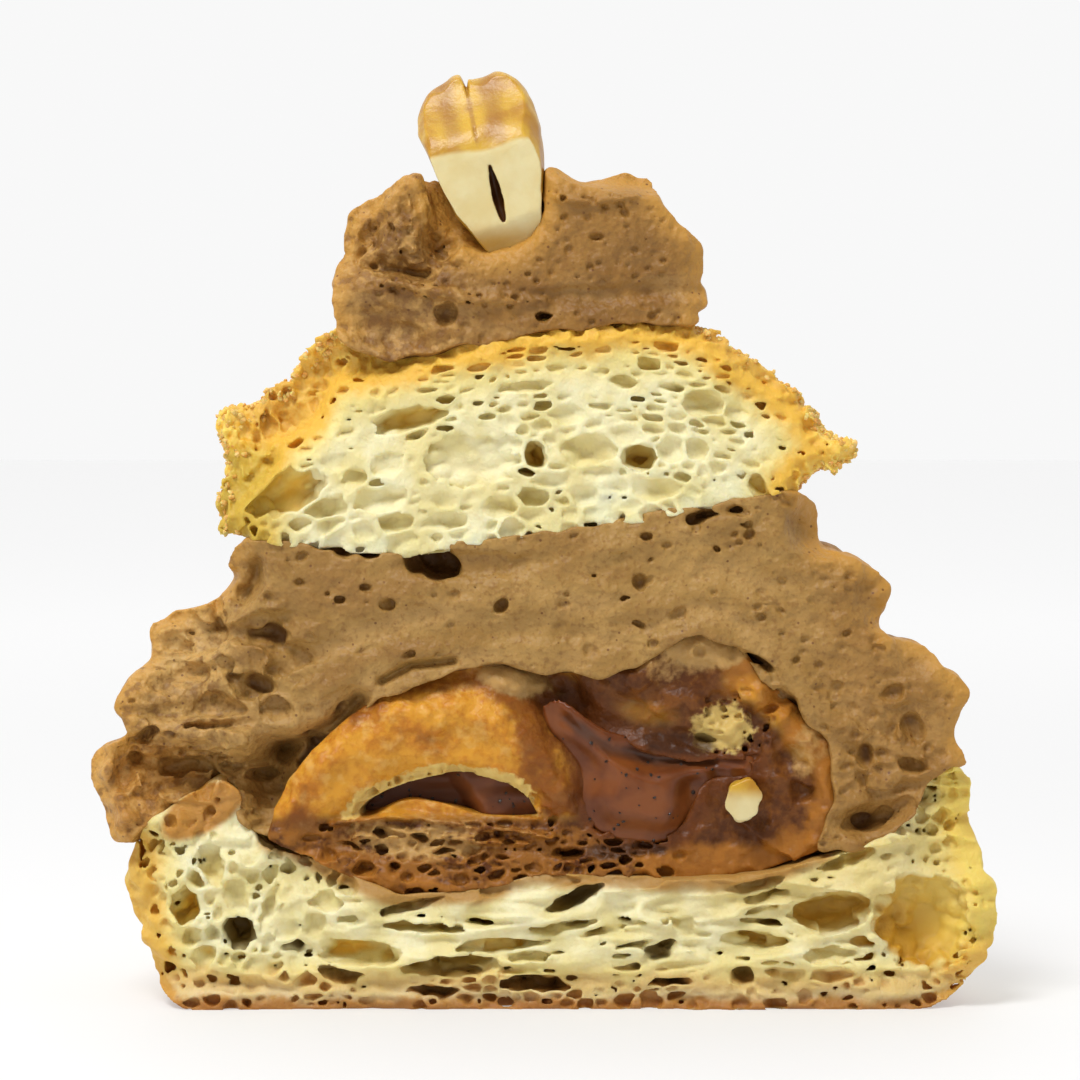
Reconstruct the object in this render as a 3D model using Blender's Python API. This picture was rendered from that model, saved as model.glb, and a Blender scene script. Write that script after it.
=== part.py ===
"""Half of a filled choux bun, cut down its middle, standing on its own base.

Metres, +Z up. The flat cut looks along -Y, the round back along +Y, and +X is to the right of
somebody who looks at the cut. From the plate up: the lower bun, a small choux and its caramel that
lie in it, the piped praline cream, the lid with its sugar crust, a piped rosette and a nut.

Every layer is a half turn about the bun's upright axis. It has one outline where the turn starts,
on the right of the cut, and another where it ends, on the left, and it passes smoothly from one to
the other round the back. Outlines hold a radius and a height in millimetres.
"""

import math

import bmesh
import bpy
from mathutils import Matrix, Vector, noise

MM = 0.001

# Driving sizes, in millimetres.
GAP = 0.3  # clearance between pieces that touch
BASE_FLAT_RIGHT = 35.0  # how far the flat underside reaches from the axis
BASE_FLAT_LEFT = 32.4
AXIS_BED = 12.2  # heights of the layers' faces on the axis
AXIS_ROOF = 30.7
AXIS_SEAT = 43.0
AXIS_PERCH = 62.2
AXIS_TOP = 76.6
CARAMEL_LOW = 17.0
CARAMEL_HIGH = 30.1

# How many steps each half turn takes.
BUN_STEPS = 36
CREAM_STEPS = 44
LID_STEPS = 42
ROSETTE_STEPS = 32
CORE_STEPS = 18

# Relief of the surfaces that nothing rests on, in millimetres.
CRAG_DEPTH = 0.7
CRAG_SIZE = 5.0
SUGAR_DEPTH = 1.1
SUGAR_SIZE = 3.2
BULGE_DEPTH = 1.3  # how unevenly the praline cream was pressed out
BULGE_SIZE = 9.0
SWIRL_DEPTH = 1.6  # the ridges that wind up the rosette
SWIRL_TURNS = 2.6  # how many ridges lie one above the other
FADE = 2.5  # the height over which relief grows from nothing beside another piece
LID_CALM = 61.0  # the lid is smooth from here up, close to the rosette

# Faces that two layers share, as (radius, height) from the outside in, on the right and the left.
# The bed is the lower bun's upper face. Its outer part carries the cream, the inner the choux.
BED_OUTER = (
    [(38.4, 21.8), (37.0, 22.2), (34.8, 20.4), (33.6, 17.6), (31.6, 15.8), (29.0, 14.5), (26.0, 13.6)],
    [(37.2, 14.8), (35.8, 16.6), (32.6, 18.9), (29.6, 20.8), (27.6, 19.8), (27.4, 17.2), (25.4, 14.6)],
)
BED_INNER = (
    [(26.0, 13.6), (20.0, 12.2), (14.4, 11.6), (7.0, 11.9), (0.0, AXIS_BED)],
    [(25.4, 14.6), (19.0, 12.6), (12.7, 10.2), (5.5, 10.8), (0.0, AXIS_BED)],
)
# The roof is the outside of the small choux, under the cream.
ROOF = (
    [(25.2, 14.6), (26.7, 20.1), (26.0, 24.1), (23.3, 27.1), (20.2, 29.8), (17.9, 32.7),
     (14.3, 34.3), (10.7, 32.2), (5.3, 30.2), (0.0, AXIS_ROOF)],
    [(24.6, 15.6), (24.0, 18.0), (22.8, 20.6), (20.8, 23.2), (17.2, 26.4), (14.6, 28.2),
     (11.2, 29.6), (7.6, 30.8), (3.7, 31.5), (0.0, AXIS_ROOF)],
)
# The seat is the cream's top, under the lid.
SEAT = (
    [(23.0, 46.7), (19.0, 46.3), (14.0, 45.2), (9.0, 44.3), (4.0, 43.4), (0.0, AXIS_SEAT)],
    [(25.2, 42.4), (21.7, 41.7), (17.4, 41.5), (12.4, 40.9), (5.4, 42.3), (0.0, AXIS_SEAT)],
)
# The perch is the lid's top, under the rosette.
PERCH = (
    [(11.6, 62.6), (8.0, 62.7), (4.0, 62.4), (0.0, AXIS_PERCH)],
    [(16.6, 60.7), (13.4, 59.5), (6.0, 60.9), (0.0, AXIS_PERCH)],
)

# Free sides, from the lower end to the upper one.
BUN_WALL = (
    [(BASE_FLAT_RIGHT, 0.0), (38.6, 2.0), (40.8, 5.6), (41.1, 10.0), (40.0, 13.5), (39.3, 17.5), (39.1, 20.6)],
    [(BASE_FLAT_LEFT, 0.0), (35.0, 1.9), (35.7, 5.2), (37.0, 8.0), (37.8, 10.6), (37.8, 12.4), (37.6, 13.8)],
)
CREAM_SIDE = (
    [(38.6, 22.4), (37.5, 25.2), (38.7, 28.6), (36.4, 31.0), (34.9, 32.9), (31.0, 34.0), (31.5, 36.4),
     (32.0, 38.4), (28.6, 40.9), (25.6, 41.5), (24.7, 42.5), (25.0, 44.8), (24.4, 46.2)],
    [(38.8, 15.0), (41.1, 20.6), (40.8, 23.0), (37.2, 25.2), (39.1, 27.4), (36.6, 30.2), (35.8, 32.4),
     (35.9, 34.6), (31.0, 36.8), (29.0, 38.8), (28.5, 40.8), (27.0, 42.0), (26.4, 42.4)],
)
LID_RIM = (
    [(23.6, 47.6), (25.4, 48.9), (28.0, 49.4), (28.3, 51.0), (25.6, 52.2), (24.9, 54.4)],
    [(27.9, 43.0), (29.5, 43.9), (29.2, 46.4), (28.1, 48.9), (29.0, 51.6), (29.4, 53.9)],
)
LID_TOP = (
    [(24.9, 54.4), (23.2, 55.8), (20.6, 57.9), (17.6, 59.9), (15.2, 61.6), (11.6, 62.6)],
    [(29.4, 53.9), (27.0, 54.8), (24.4, 56.4), (22.0, 59.0), (19.4, 61.2), (16.6, 60.7)],
)
ROSETTE_SIDE = (
    [(13.4, 62.9), (15.4, 63.8), (14.6, 66.0), (14.7, 68.8), (13.8, 70.2), (10.6, 72.8),
     (9.5, 75.4), (7.8, 75.9), (5.0, 75.4), (2.2, 76.3), (0.0, AXIS_TOP)],
    [(17.4, 61.4), (18.8, 62.8), (18.8, 65.6), (18.2, 68.6), (17.0, 71.2), (14.8, 73.6),
     (12.4, 75.2), (10.0, 75.4), (7.0, 75.8), (3.6, 76.4), (0.0, AXIS_TOP)],
)
# The caramel's outline, from its lowest point on the axis out and up to its highest.
CARAMEL_SIDE = (
    [(0.0, CARAMEL_LOW), (5.0, 15.8), (14.0, 14.6), (19.7, 14.9), (23.6, 16.9), (24.8, 20.0),
     (23.6, 22.6), (19.4, 24.6), (13.2, 23.8), (6.0, 25.2), (2.6, 27.8), (0.0, CARAMEL_HIGH)],
    [(0.0, CARAMEL_LOW), (4.6, 16.0), (8.4, 15.6), (12.2, 15.8), (15.0, 16.5), (17.0, 17.8),
     (14.2, 19.8), (10.2, 21.0), (6.4, 21.7), (3.4, 22.4), (1.8, 26.4), (0.0, CARAMEL_HIGH)],
)

FINE_BUBBLE = 2.4  # bubbles wider than this take more faces
# Bubbles that open at the cut: (across, height, half width, half height, depth, tilt in degrees).
BUN_BUBBLES = (
    (33.4, 8.6, 3.3, 2.9, 4.2, 10),
    (26.3, 8.5, 3.2, 1.3, 3.6, 8),
    (18.4, 6.2, 2.7, 1.2, 3.2, -6),
    (18.3, 2.9, 1.3, 1.1, 2.6, 0),
    (10.6, 5.3, 1.7, 0.8, 2.6, 24),
    (5.4, 7.2, 2.2, 0.6, 2.4, 8),
    (0.4, 2.6, 3.4, 0.6, 2.2, -4),
    (-4.0, 5.0, 2.6, 0.6, 2.4, 3),
    (-10.2, 3.7, 3.6, 1.0, 3.0, -8),
    (-17.4, 5.0, 2.8, 0.7, 2.4, -6),
    (-28.0, 7.4, 1.7, 1.7, 3.4, 12),
    (-30.0, 12.4, 1.2, 1.9, 2.4, 8),
    (-32.3, 9.1, 1.6, 1.8, 3.2, -6),
)
LID_BUBBLES = (
    (-23.4, 47.1, 4.2, 1.9, 4.4, 18),
    (-12.2, 53.5, 4.4, 1.0, 3.6, 17),
    (-6.6, 49.2, 5.0, 2.3, 1.8, 10),
    (-0.4, 49.8, 1.3, 1.5, 3.0, 0),
    (9.0, 49.9, 1.7, 1.3, 3.2, 0),
    (14.2, 54.6, 2.2, 1.5, 2.4, 8),
    (5.6, 56.6, 2.5, 0.8, 2.0, -28),
    (-16.8, 46.2, 2.2, 1.2, 2.2, 12),
    (4.8, 47.0, 1.6, 0.9, 2.0, 10),
)
CREAM_BUBBLES = (
    (-10.4, 41.0, 2.6, 2.2, 5.0, 25),
    (-24.4, 33.8, 1.8, 1.1, 1.8, 0),
    (-27.4, 30.8, 1.9, 0.9, 1.8, -15),
    (-21.0, 22.9, 2.6, 1.4, 3.0, 40),
    (-29.2, 24.4, 2.0, 1.3, 2.0, 0),
    (18.0, 31.9, 2.2, 0.6, 1.8, -38),
    (30.2, 17.0, 2.5, 1.0, 2.6, 12),
    (15.0, 44.9, 1.9, 0.7, 2.6, 10),
)

# The nut: half its width, thickness and length, and where its middle lies.
NUT_HALF = (6.2, 5.0, 9.9)
NUT_CENTRE = (-5.3, 3.2, 76.6)
NUT_LEAN = 35.0  # degrees from upright, top away from the cut
NUT_ROLL = -8.0
NUT_TAPER = 0.2  # how much narrower the foot is than the top
NUT_SQUARE = 0.82  # under 1 makes its sides fuller than an egg's
NUT_GROOVE = 1.3  # depth of the seam between its two halves
# Half width, half length and depth of the hollow that the cut opens, and where it lies.
NUT_SLIT = (0.55, 2.3, 1.7)
NUT_SLIT_PLACE = (-3.9, 73.8)
NUT_SLIT_TILT = -14.0
PIECE_HALF = (1.4, 1.2, 1.7)  # the chip of nut in the caramel
PIECE_PLACE = (18.2, 0.7, 19.2)

COLOURS = {
    "crumb": (0.66, 0.53, 0.23),
    "toast": (0.47, 0.25, 0.07),
    "cream": (0.35, 0.20, 0.075),
    "caramel": (0.18, 0.06, 0.02),
    "nut": (0.70, 0.52, 0.24),
}
ROUGHNESS = {"crumb": 0.8, "toast": 0.7, "cream": 0.5, "caramel": 0.2, "nut": 0.55}
ON_AXIS = 1e-6


def clear_scene():
    for obj in list(bpy.data.objects):
        bpy.data.objects.remove(obj)


def finish_of(kind):
    """The plain finish of one food, made once."""
    material = bpy.data.materials.get(kind)
    if material is None:
        material = bpy.data.materials.new(kind)
        material.use_nodes = True
        shader = material.node_tree.nodes["Principled BSDF"]
        shader.inputs["Base Color"].default_value = (*COLOURS[kind], 1)
        shader.inputs["Roughness"].default_value = ROUGHNESS[kind]
        shader.inputs["Metallic"].default_value = 0.0
        material.diffuse_color = (*COLOURS[kind], 1)
    return material


def new_object(name, bm, kind):
    """An object from a bmesh, with outward normals and smooth shading up to sharp edges."""
    bmesh.ops.recalc_face_normals(bm, faces=bm.faces)
    mesh = bpy.data.meshes.new(name)
    bm.to_mesh(mesh)
    bm.free()
    mesh.materials.append(finish_of(kind))
    mesh.shade_smooth()
    mesh.set_sharp_from_angle(angle=math.radians(50))
    obj = bpy.data.objects.new(name, mesh)
    bpy.context.scene.collection.objects.link(obj)
    return obj


def smooth(points, per_span):
    """Points on a Catmull-Rom curve through these, with per_span steps from one to the next."""
    knots = [Vector(p) for p in points]
    knots = [2 * knots[0] - knots[1], *knots, 2 * knots[-1] - knots[-2]]
    curve = []
    for a, b, c, d in zip(knots, knots[1:], knots[2:], knots[3:]):
        for k in range(per_span):
            t = k / per_span
            curve.append(
                b + 0.5 * t * (c - a + t * (2 * a - 5 * b + 4 * c - d + t * (3 * (b - c) + d - a)))
            )
    curve.append(knots[-2])
    return [Vector((max(0.0, p.x), p.y)) for p in curve]


def beside(path, distance):
    """The path moved to its left. A point on the axis stays on the axis."""
    moved = []
    for i, here in enumerate(path):
        before = (here - path[i - 1]).normalized() if i else Vector((0, 0))
        after = (path[i + 1] - here).normalized() if i + 1 < len(path) else Vector((0, 0))
        along = (before + after).normalized()
        across = Vector((-along.y, along.x))
        moved.append(here + distance * across)
        if here.x < ON_AXIS:
            moved[-1].x = 0.0
    return moved


def stretch(points, free=False):
    """A stretch of an outline. Each point says whether relief may move it, and the end ones stay."""
    last = len(points) - 1
    return [(p, bool(free and 0 < i < last)) for i, p in enumerate(points)]


def both_sides(build):
    """The right and the left outline, from a function that is given the side's index."""
    return build(0), build(1)


def outward(outline, i):
    """The direction out of the body at an outline's point. The body is on the path's left."""
    along = outline[min(i + 1, len(outline) - 1)][0] - outline[i - 1][0]
    along.normalize()
    return Vector((along.y, -along.x))


def half_turn(name, outlines, steps, kind, relief=None):
    """A solid of half a turn. Each outline runs from its low end on the axis out, up and back to it."""
    right, left = outlines
    bm = bmesh.new()
    rings = []
    for i, ((start, free), (end, _)) in enumerate(zip(right, left)):
        if start.x < ON_AXIS and end.x < ON_AXIS:
            rings.append([bm.verts.new((0, 0, start.y * MM))] * (steps + 1))
            continue
        ring = []
        for j in range(steps + 1):
            angle = math.pi * j / steps
            share = (1 - math.cos(angle)) / 2
            point = start.lerp(end, share)
            if free and relief:
                normal = outward(right, i).lerp(outward(left, i), share)
                point = point + relief(angle, point.x, point.y) * normal
            ring.append(
                bm.verts.new(
                    (point.x * math.cos(angle) * MM, point.x * math.sin(angle) * MM, point.y * MM)
                )
            )
        rings.append(ring)
    for low, high in zip(rings, rings[1:]):
        for j in range(steps):
            corners = list(dict.fromkeys([low[j], low[j + 1], high[j + 1], high[j]]))
            if len(corners) > 2:
                bm.faces.new(corners)
    for j in (0, steps):
        bm.faces.new([ring[j] for ring in rings])
    return new_object(name, bm, kind)


def helper(obj):
    """Marks an object as a cutter, which isn't a piece of the bun."""
    obj.hide_render = True
    obj.display_type = "WIRE"
    return obj


def cut_bubbles(obj, bubbles):
    """Opens the bubbles in the cut face, each a squashed ball with its middle on the cut."""
    collection = bpy.data.collections.new(obj.name + "_bubbles")
    bpy.context.scene.collection.children.link(collection)
    for across, height, half_width, half_height, depth, tilt in bubbles:
        bm = bmesh.new()
        finer = max(half_width, half_height) > FINE_BUBBLE
        bmesh.ops.create_icosphere(bm, subdivisions=2 if finer else 1, radius=1.0)
        size = Matrix.Diagonal((half_width * MM, depth * MM, half_height * MM, 1))
        turn = Matrix.Rotation(-math.radians(tilt), 4, "Y")
        bmesh.ops.transform(bm, matrix=turn @ size, verts=bm.verts)
        ball = helper(new_object(f"{obj.name}_bubble", bm, "crumb"))
        ball.location = (across * MM, 0, height * MM)
        bpy.context.scene.collection.objects.unlink(ball)
        collection.objects.link(ball)
    cut = obj.modifiers.new("bubbles", "BOOLEAN")
    cut.operation = "DIFFERENCE"
    cut.operand_type = "COLLECTION"
    cut.collection = collection


def cut_by(obj, cutter):
    """Takes the cutter's shape out of the object."""
    cut = obj.modifiers.new("cut by " + cutter.name, "BOOLEAN")
    cut.operation = "DIFFERENCE"
    cut.object = helper(cutter)


def near_cut(angle):
    """0 on the cut and 1 a little behind it, so that relief leaves the cut's outline as drawn."""
    return min(1.0, 3.5 * math.sin(angle))


def crags(depth, size, share_at_cut, calm_from=math.inf):
    """Relief of a baked crust: uneven lumps of about one size, calm from a height up."""

    def relief(angle, radius, height):
        place = Vector((radius * math.cos(angle), radius * math.sin(angle), height)) / size
        lumps = noise.noise(place) + 0.6 * noise.noise(2.3 * place)
        strength = share_at_cut + (1 - share_at_cut) * near_cut(angle)
        return depth * lumps * strength * max(0.0, min(1.0, (calm_from - height) / FADE))

    return relief


def bulges(depth, size):
    """Relief of thick cream that was piped by hand: its ridges swell and shrink along their way."""

    def relief(angle, radius, height):
        place = Vector((radius * math.cos(angle), radius * math.sin(angle), 1.6 * height)) / size
        return depth * noise.noise(place) * near_cut(angle)

    return relief


def wound(depth, turns, low, high):
    """Relief of a piped swirl: round ridges, which climb as they go round."""

    def relief(angle, radius, height):
        climb = (height - low) / (high - low)
        ridge = math.cos(2 * math.pi * turns * climb + angle) / 2
        rise = max(0.0, min(1.0, (height - low) / FADE))
        return depth * ridge * near_cut(angle) * rise

    return relief


def lower_bun():
    """The base of the bun, a shallow cup of crumb in a thin crust."""

    def outline(side):
        floor = [Vector((0.0, 0.0))]
        wall = smooth(BUN_WALL[side], 2)
        bed = smooth(BED_OUTER[side], 1) + smooth(BED_INNER[side], 1)[1:]
        return stretch(floor) + stretch(wall, free=True) + stretch(bed)

    bun = half_turn("lower_bun", both_sides(outline), BUN_STEPS, "crumb", crags(CRAG_DEPTH, CRAG_SIZE, 0.3))
    cut_bubbles(bun, BUN_BUBBLES)
    return bun


def small_choux():
    """The choux baked inside: a crust with a chamber, which the caramel fills."""

    def outline(side):
        floor = beside(smooth(BED_INNER[side][::-1], 1), GAP)
        roof = smooth(ROOF[side], 1)
        chamber = beside(smooth(CARAMEL_SIDE[side], 2), -GAP)[::-1]
        return stretch(floor[:-1]) + stretch(roof) + stretch(chamber)

    return half_turn("small_choux", both_sides(outline), CORE_STEPS, "toast")


def nut_piece(name="nut_piece", grow=0.0):
    """The chip of nut that shows in the caramel."""
    bm = bmesh.new()
    bmesh.ops.create_icosphere(bm, subdivisions=1, radius=1.0)
    size = Matrix.Diagonal([(half + grow) * MM for half in PIECE_HALF] + [1])
    bmesh.ops.transform(bm, matrix=Matrix.Rotation(0.25, 4, "Y") @ size, verts=bm.verts)
    piece = new_object(name, bm, "nut")
    piece.location = [place * MM for place in PIECE_PLACE]
    return piece


def caramel():
    """The caramel that fills the small choux."""

    def outline(side):
        return stretch(smooth(CARAMEL_SIDE[side], 2))

    body = half_turn("caramel", both_sides(outline), CORE_STEPS, "caramel")
    cut_by(body, nut_piece("nut_piece_socket", GAP))
    return body


def praline_cream():
    """The cream that is piped over the small choux, up to the lid."""

    def outline(side):
        low = beside(smooth(ROOF[side][::-1], 1) + smooth(BED_OUTER[side][::-1], 1)[1:], GAP)
        return stretch(low) + stretch(smooth(CREAM_SIDE[side], 2), free=True) + stretch(smooth(SEAT[side], 1))

    uneven = bulges(BULGE_DEPTH, BULGE_SIZE)
    cream = half_turn("praline_cream", both_sides(outline), CREAM_STEPS, "cream", uneven)
    cut_bubbles(cream, CREAM_BUBBLES)
    return cream


def lid():
    """The bun's lid, crumb under a rough sugar crust."""

    def outline(side):
        under = beside(smooth(SEAT[side][::-1], 1), GAP)
        rim = smooth(LID_RIM[side], 1)
        top = smooth(LID_TOP[side], 2)
        return stretch(under) + stretch(rim + top[1:], free=True) + stretch(smooth(PERCH[side], 1)[1:])

    sugar = crags(SUGAR_DEPTH, SUGAR_SIZE, 0.25, LID_CALM)
    top = half_turn("lid", both_sides(outline), LID_STEPS, "crumb", sugar)
    cut_bubbles(top, LID_BUBBLES)
    return top


def rosette():
    """The small swirl of cream on the lid, with a socket for the nut."""

    def outline(side):
        low = beside(smooth(PERCH[side][::-1], 1), GAP)
        return stretch(low) + stretch(smooth(ROSETTE_SIDE[side], 2), free=True)

    swirl = wound(SWIRL_DEPTH, SWIRL_TURNS, AXIS_PERCH + 1.0, AXIS_TOP)
    body = half_turn("rosette", both_sides(outline), ROSETTE_STEPS, "cream", swirl)
    socket = nut_body("nut_socket", GAP)
    cut_by(body, socket)
    return body


def nut_body(name, grow=0.0):
    """The whole kernel: an egg that narrows to its foot, with a seam down its front and over its top."""
    bm = bmesh.new()
    bmesh.ops.create_uvsphere(bm, u_segments=20, v_segments=14, radius=1.0)
    half_width, half_thick, half_long = NUT_HALF
    for vert in bm.verts:
        across, deep, up = (math.copysign(abs(c) ** NUT_SQUARE, c) for c in vert.co)
        narrow = 1 - NUT_TAPER * (1 - up) / 2
        seam = math.exp(-((across / 0.16) ** 2)) * NUT_GROOVE * max(0.0, 0.35 + 0.65 * up)
        out = Vector((half_width * across * narrow, half_thick * deep * narrow, half_long * up))
        vert.co = (out - (seam - grow) * out.normalized()) * MM
    kernel = new_object(name, bm, "nut")
    kernel.location = [place * MM for place in NUT_CENTRE]
    kernel.rotation_euler = (-math.radians(NUT_LEAN), math.radians(NUT_ROLL), 0)
    return kernel


def nut():
    """The nut on top, cut off flush with the rest where it crosses the cut."""
    kernel = nut_body("nut")
    bpy.context.view_layer.update()
    bm = bmesh.new()
    bm.from_mesh(kernel.data)
    bmesh.ops.transform(bm, matrix=kernel.matrix_world, verts=bm.verts)
    everything = bm.verts[:] + bm.edges[:] + bm.faces[:]
    sliced = bmesh.ops.bisect_plane(
        bm, geom=everything, plane_co=(0, 0, 0), plane_no=(0, -1, 0), clear_outer=True
    )
    rim = [item for item in sliced["geom_cut"] if isinstance(item, bmesh.types.BMEdge)]
    bmesh.ops.edgeloop_fill(bm, edges=rim)
    bpy.data.objects.remove(kernel)
    kernel = new_object("nut", bm, "nut")
    half_width, half_long, depth = NUT_SLIT
    cut_bubbles(kernel, [(*NUT_SLIT_PLACE, half_width, half_long, depth, NUT_SLIT_TILT)])
    return kernel


def stand_on_base(pieces):
    """Puts the origin under the middle of the bun's box."""
    bpy.context.view_layer.update()
    graph = bpy.context.evaluated_depsgraph_get()
    corners = []
    for piece in pieces:
        shape = piece.evaluated_get(graph)
        corners += [shape.matrix_world @ Vector(corner) for corner in shape.bound_box]
    middle = [(min(c[k] for c in corners) + max(c[k] for c in corners)) / 2 for k in (0, 1)]
    bun = bpy.data.objects.new("bun", None)
    bpy.context.scene.collection.objects.link(bun)
    for obj in bpy.context.scene.objects:
        if obj != bun:
            obj.parent = bun
    bun.location = (-middle[0], -middle[1], 0)


def main():
    clear_scene()
    pieces = [
        lower_bun(),
        small_choux(),
        caramel(),
        praline_cream(),
        lid(),
        rosette(),
        nut(),
        nut_piece(),
    ]
    stand_on_base(pieces)


main()
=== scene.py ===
# %% [markdown]
# # Half a filled choux bun
#
# The bun was cut down its middle and stands with its cut face towards us. From the table up it has a
# base of airy crumb, a small browned choux filled with caramel, a thick layer of piped praline cream,
# a lid of crumb under a sugar crust, a rosette of cream, and a nut.
#
# A plain model with the right sizes comes first, as a fixed frame. Everything below replaces its
# pieces by ones with the real surface: foam, pores, crumbs, smears and shine. Sizes are in
# millimetres here, because that is how one thinks about food, and become metres in the meshes.

# %% Load the plain model
import math
import random

import bmesh
import bpy
import numpy as np
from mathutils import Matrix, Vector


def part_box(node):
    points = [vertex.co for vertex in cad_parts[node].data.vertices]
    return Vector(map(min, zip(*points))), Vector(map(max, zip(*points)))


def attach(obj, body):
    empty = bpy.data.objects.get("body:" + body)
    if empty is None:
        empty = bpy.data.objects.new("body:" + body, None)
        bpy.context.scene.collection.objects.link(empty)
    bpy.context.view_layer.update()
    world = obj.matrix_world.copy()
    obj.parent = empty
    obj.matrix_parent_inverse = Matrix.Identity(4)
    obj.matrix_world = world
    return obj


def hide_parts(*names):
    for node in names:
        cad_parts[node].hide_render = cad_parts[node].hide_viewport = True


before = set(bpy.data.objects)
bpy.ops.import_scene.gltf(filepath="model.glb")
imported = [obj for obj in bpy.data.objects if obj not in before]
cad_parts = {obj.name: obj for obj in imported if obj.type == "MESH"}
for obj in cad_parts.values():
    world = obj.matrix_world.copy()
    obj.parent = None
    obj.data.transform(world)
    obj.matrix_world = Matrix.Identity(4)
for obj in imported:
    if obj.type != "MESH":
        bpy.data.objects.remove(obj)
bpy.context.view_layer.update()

import openvdb
from mathutils import Vector

MM = 0.001
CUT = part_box("praline_cream")[0].y / MM  # where the knife went
print("pieces:", ", ".join(sorted(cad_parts)))
print(f"the cut is at y = {CUT:.2f} mm")

# %% [markdown]
# ## Working in small cells of space
#
# Foam is hard to model face by face: bubbles meet, open into each other and leave thin walls. It is
# easy as a field, a number for each small cell of space that says how far the nearest surface is,
# below zero inside the food. Two shapes join with the smaller number, one is cut by another with the
# larger, and relief is an amount that is added. OpenVDB, which comes with Blender, turns a closed
# mesh into such a field and the finished field back into a mesh.

# %% A block of cells
class Block:
    """A box of small cells. A field on it is an array with one number for each cell."""

    def __init__(self, low, high, step):
        self.step = step
        self.first = np.floor(np.array(low) / step).astype(int)
        last = np.ceil(np.array(high) / step).astype(int)
        self.count = tuple(last - self.first + 1)
        self.places = [
            ((first + np.arange(count)) * step).astype(np.float32)
            for first, count in zip(self.first, self.count)
        ]
        self.x = self.places[0][:, None, None]
        self.y = self.places[1][None, :, None]
        self.z = self.places[2][None, None, :]


def block_round(nodes, step, margin=1.6):
    """A block round some pieces of the plain model, from just in front of the cut."""
    boxes = [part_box(node) for node in nodes]
    low = np.min([box[0] for box in boxes], axis=0) / MM - margin
    high = np.max([box[1] for box in boxes], axis=0) / MM + margin
    low[1] = CUT - margin / 2
    return Block(low, high, step)


sample = block_round(["nut"], 0.5)
print("a block round the nut has", " x ".join(str(n) for n in sample.count), "cells of 0.5 mm")

# %% [markdown]
# Many fields are soft, so they are only known at coarse knots. A cubic B-spline fills in between them
# without creases. Each axis is done on its own, which is much faster than all three at once.

# %% A smooth field through coarse knots
def spread(block, knots, first, spacing):
    """A field on the block from a coarse array of knots, by a cubic B-spline along each axis."""
    field = knots.astype(np.float32)
    for axis, places in enumerate(block.places):
        along = (places - first[axis]) / spacing[axis]
        knot = np.clip(np.floor(along).astype(int), 1, field.shape[axis] - 3)
        t = np.clip(along - knot, 0, 1).astype(np.float32)
        shares = ((1 - t) ** 3, 3 * t**3 - 6 * t**2 + 4, -3 * t**3 + 3 * t**2 + 3 * t + 1, t**3)
        shape = [-1 if a == axis else 1 for a in range(3)]
        field = sum(
            np.take(field, knot + step, axis) * (share / 6).reshape(shape)
            for step, share in zip((-1, 0, 1, 2), shares)
        )
    return field


# %% [markdown]
# Uneven surfaces come from random knots, spread smoothly. `lumps` takes the size of one lump, or one
# size for each direction, so that it also makes flat layers and long smears.

# %% Random lumps
def lumps(block, size, seed):
    """Soft random lumps of about that size, mostly between -1 and 1."""
    spacing = np.broadcast_to(np.array(size, float) * 0.6, 3)
    first = [places[0] - 2 * gap for places, gap in zip(block.places, spacing)]
    knots = [
        int((places[-1] - start) / gap) + 4 for places, start, gap in zip(block.places, first, spacing)
    ]
    values = np.random.default_rng(seed).uniform(-1, 1, knots)
    return 2.6 * spread(block, values, first, spacing)


# %% [markdown]
# The plain pieces were cut in half, so their meshes have a flat face at the cut. For the field that
# face is taken off, with the bubbles that open in it, and the skin goes on as its own mirror image.
# The field then knows nothing of the cut, and the cut can be made again with its own fine relief.

# %% Distance to a piece of the plain model
COARSE = 0.4  # the plain model is smooth, so a coarse field of it is enough


def whole_skin(node):
    """The outer skin of a piece as points and triangles, in mm, mirrored in the cut."""
    bm = bmesh.new()
    bm.from_mesh(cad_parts[node].data)
    bmesh.ops.remove_doubles(bm, verts=bm.verts, dist=1e-6)
    flat = [face for face in bm.faces if all(abs(v.co.y / MM - CUT) < 0.01 for v in face.verts)]
    bmesh.ops.delete(bm, geom=flat, context="FACES")
    found = {max(bm.verts, key=lambda v: v.co.y)}
    edge_of_search = list(found)
    while edge_of_search:
        beside = {e.other_vert(v) for v in edge_of_search for e in v.link_edges} - found
        found |= beside
        edge_of_search = list(beside)
    bmesh.ops.delete(bm, geom=[v for v in bm.verts if v not in found], context="VERTS")
    bm.verts.index_update()
    points = np.array([v.co for v in bm.verts]) / MM
    triangles = np.array([[v.index for v in face.verts] for face in bm.faces])
    bm.free()
    mirrored = points * (1, -1, 1) + (0, 2 * CUT, 0)
    return np.vstack([points, mirrored]), np.vstack([triangles, triangles[:, ::-1] + len(points)])


def level_set(block, points, triangles, reach):
    """The signed distance in mm to a closed mesh, below zero inside, up to a reach."""
    grid = openvdb.FloatGrid.createLevelSetFromPolygons(
        points,
        triangles=triangles,
        transform=openvdb.createLinearTransform(block.step),
        halfWidth=reach / block.step,
    )
    field = np.empty(block.count, np.float32)
    grid.copyToArray(field, ijk=tuple(int(i) for i in block.first))
    return field


def distance_to(node, block, reach=4.0):
    """The distance field of a piece of the plain model on a fine block."""
    low = [places[0] - 3 * COARSE for places in block.places]
    high = [places[-1] + 3 * COARSE for places in block.places]
    coarse = Block(low, high, COARSE)
    field = level_set(coarse, *whole_skin(node), reach)
    return spread(block, field, [places[0] for places in coarse.places], (COARSE,) * 3)


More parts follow.
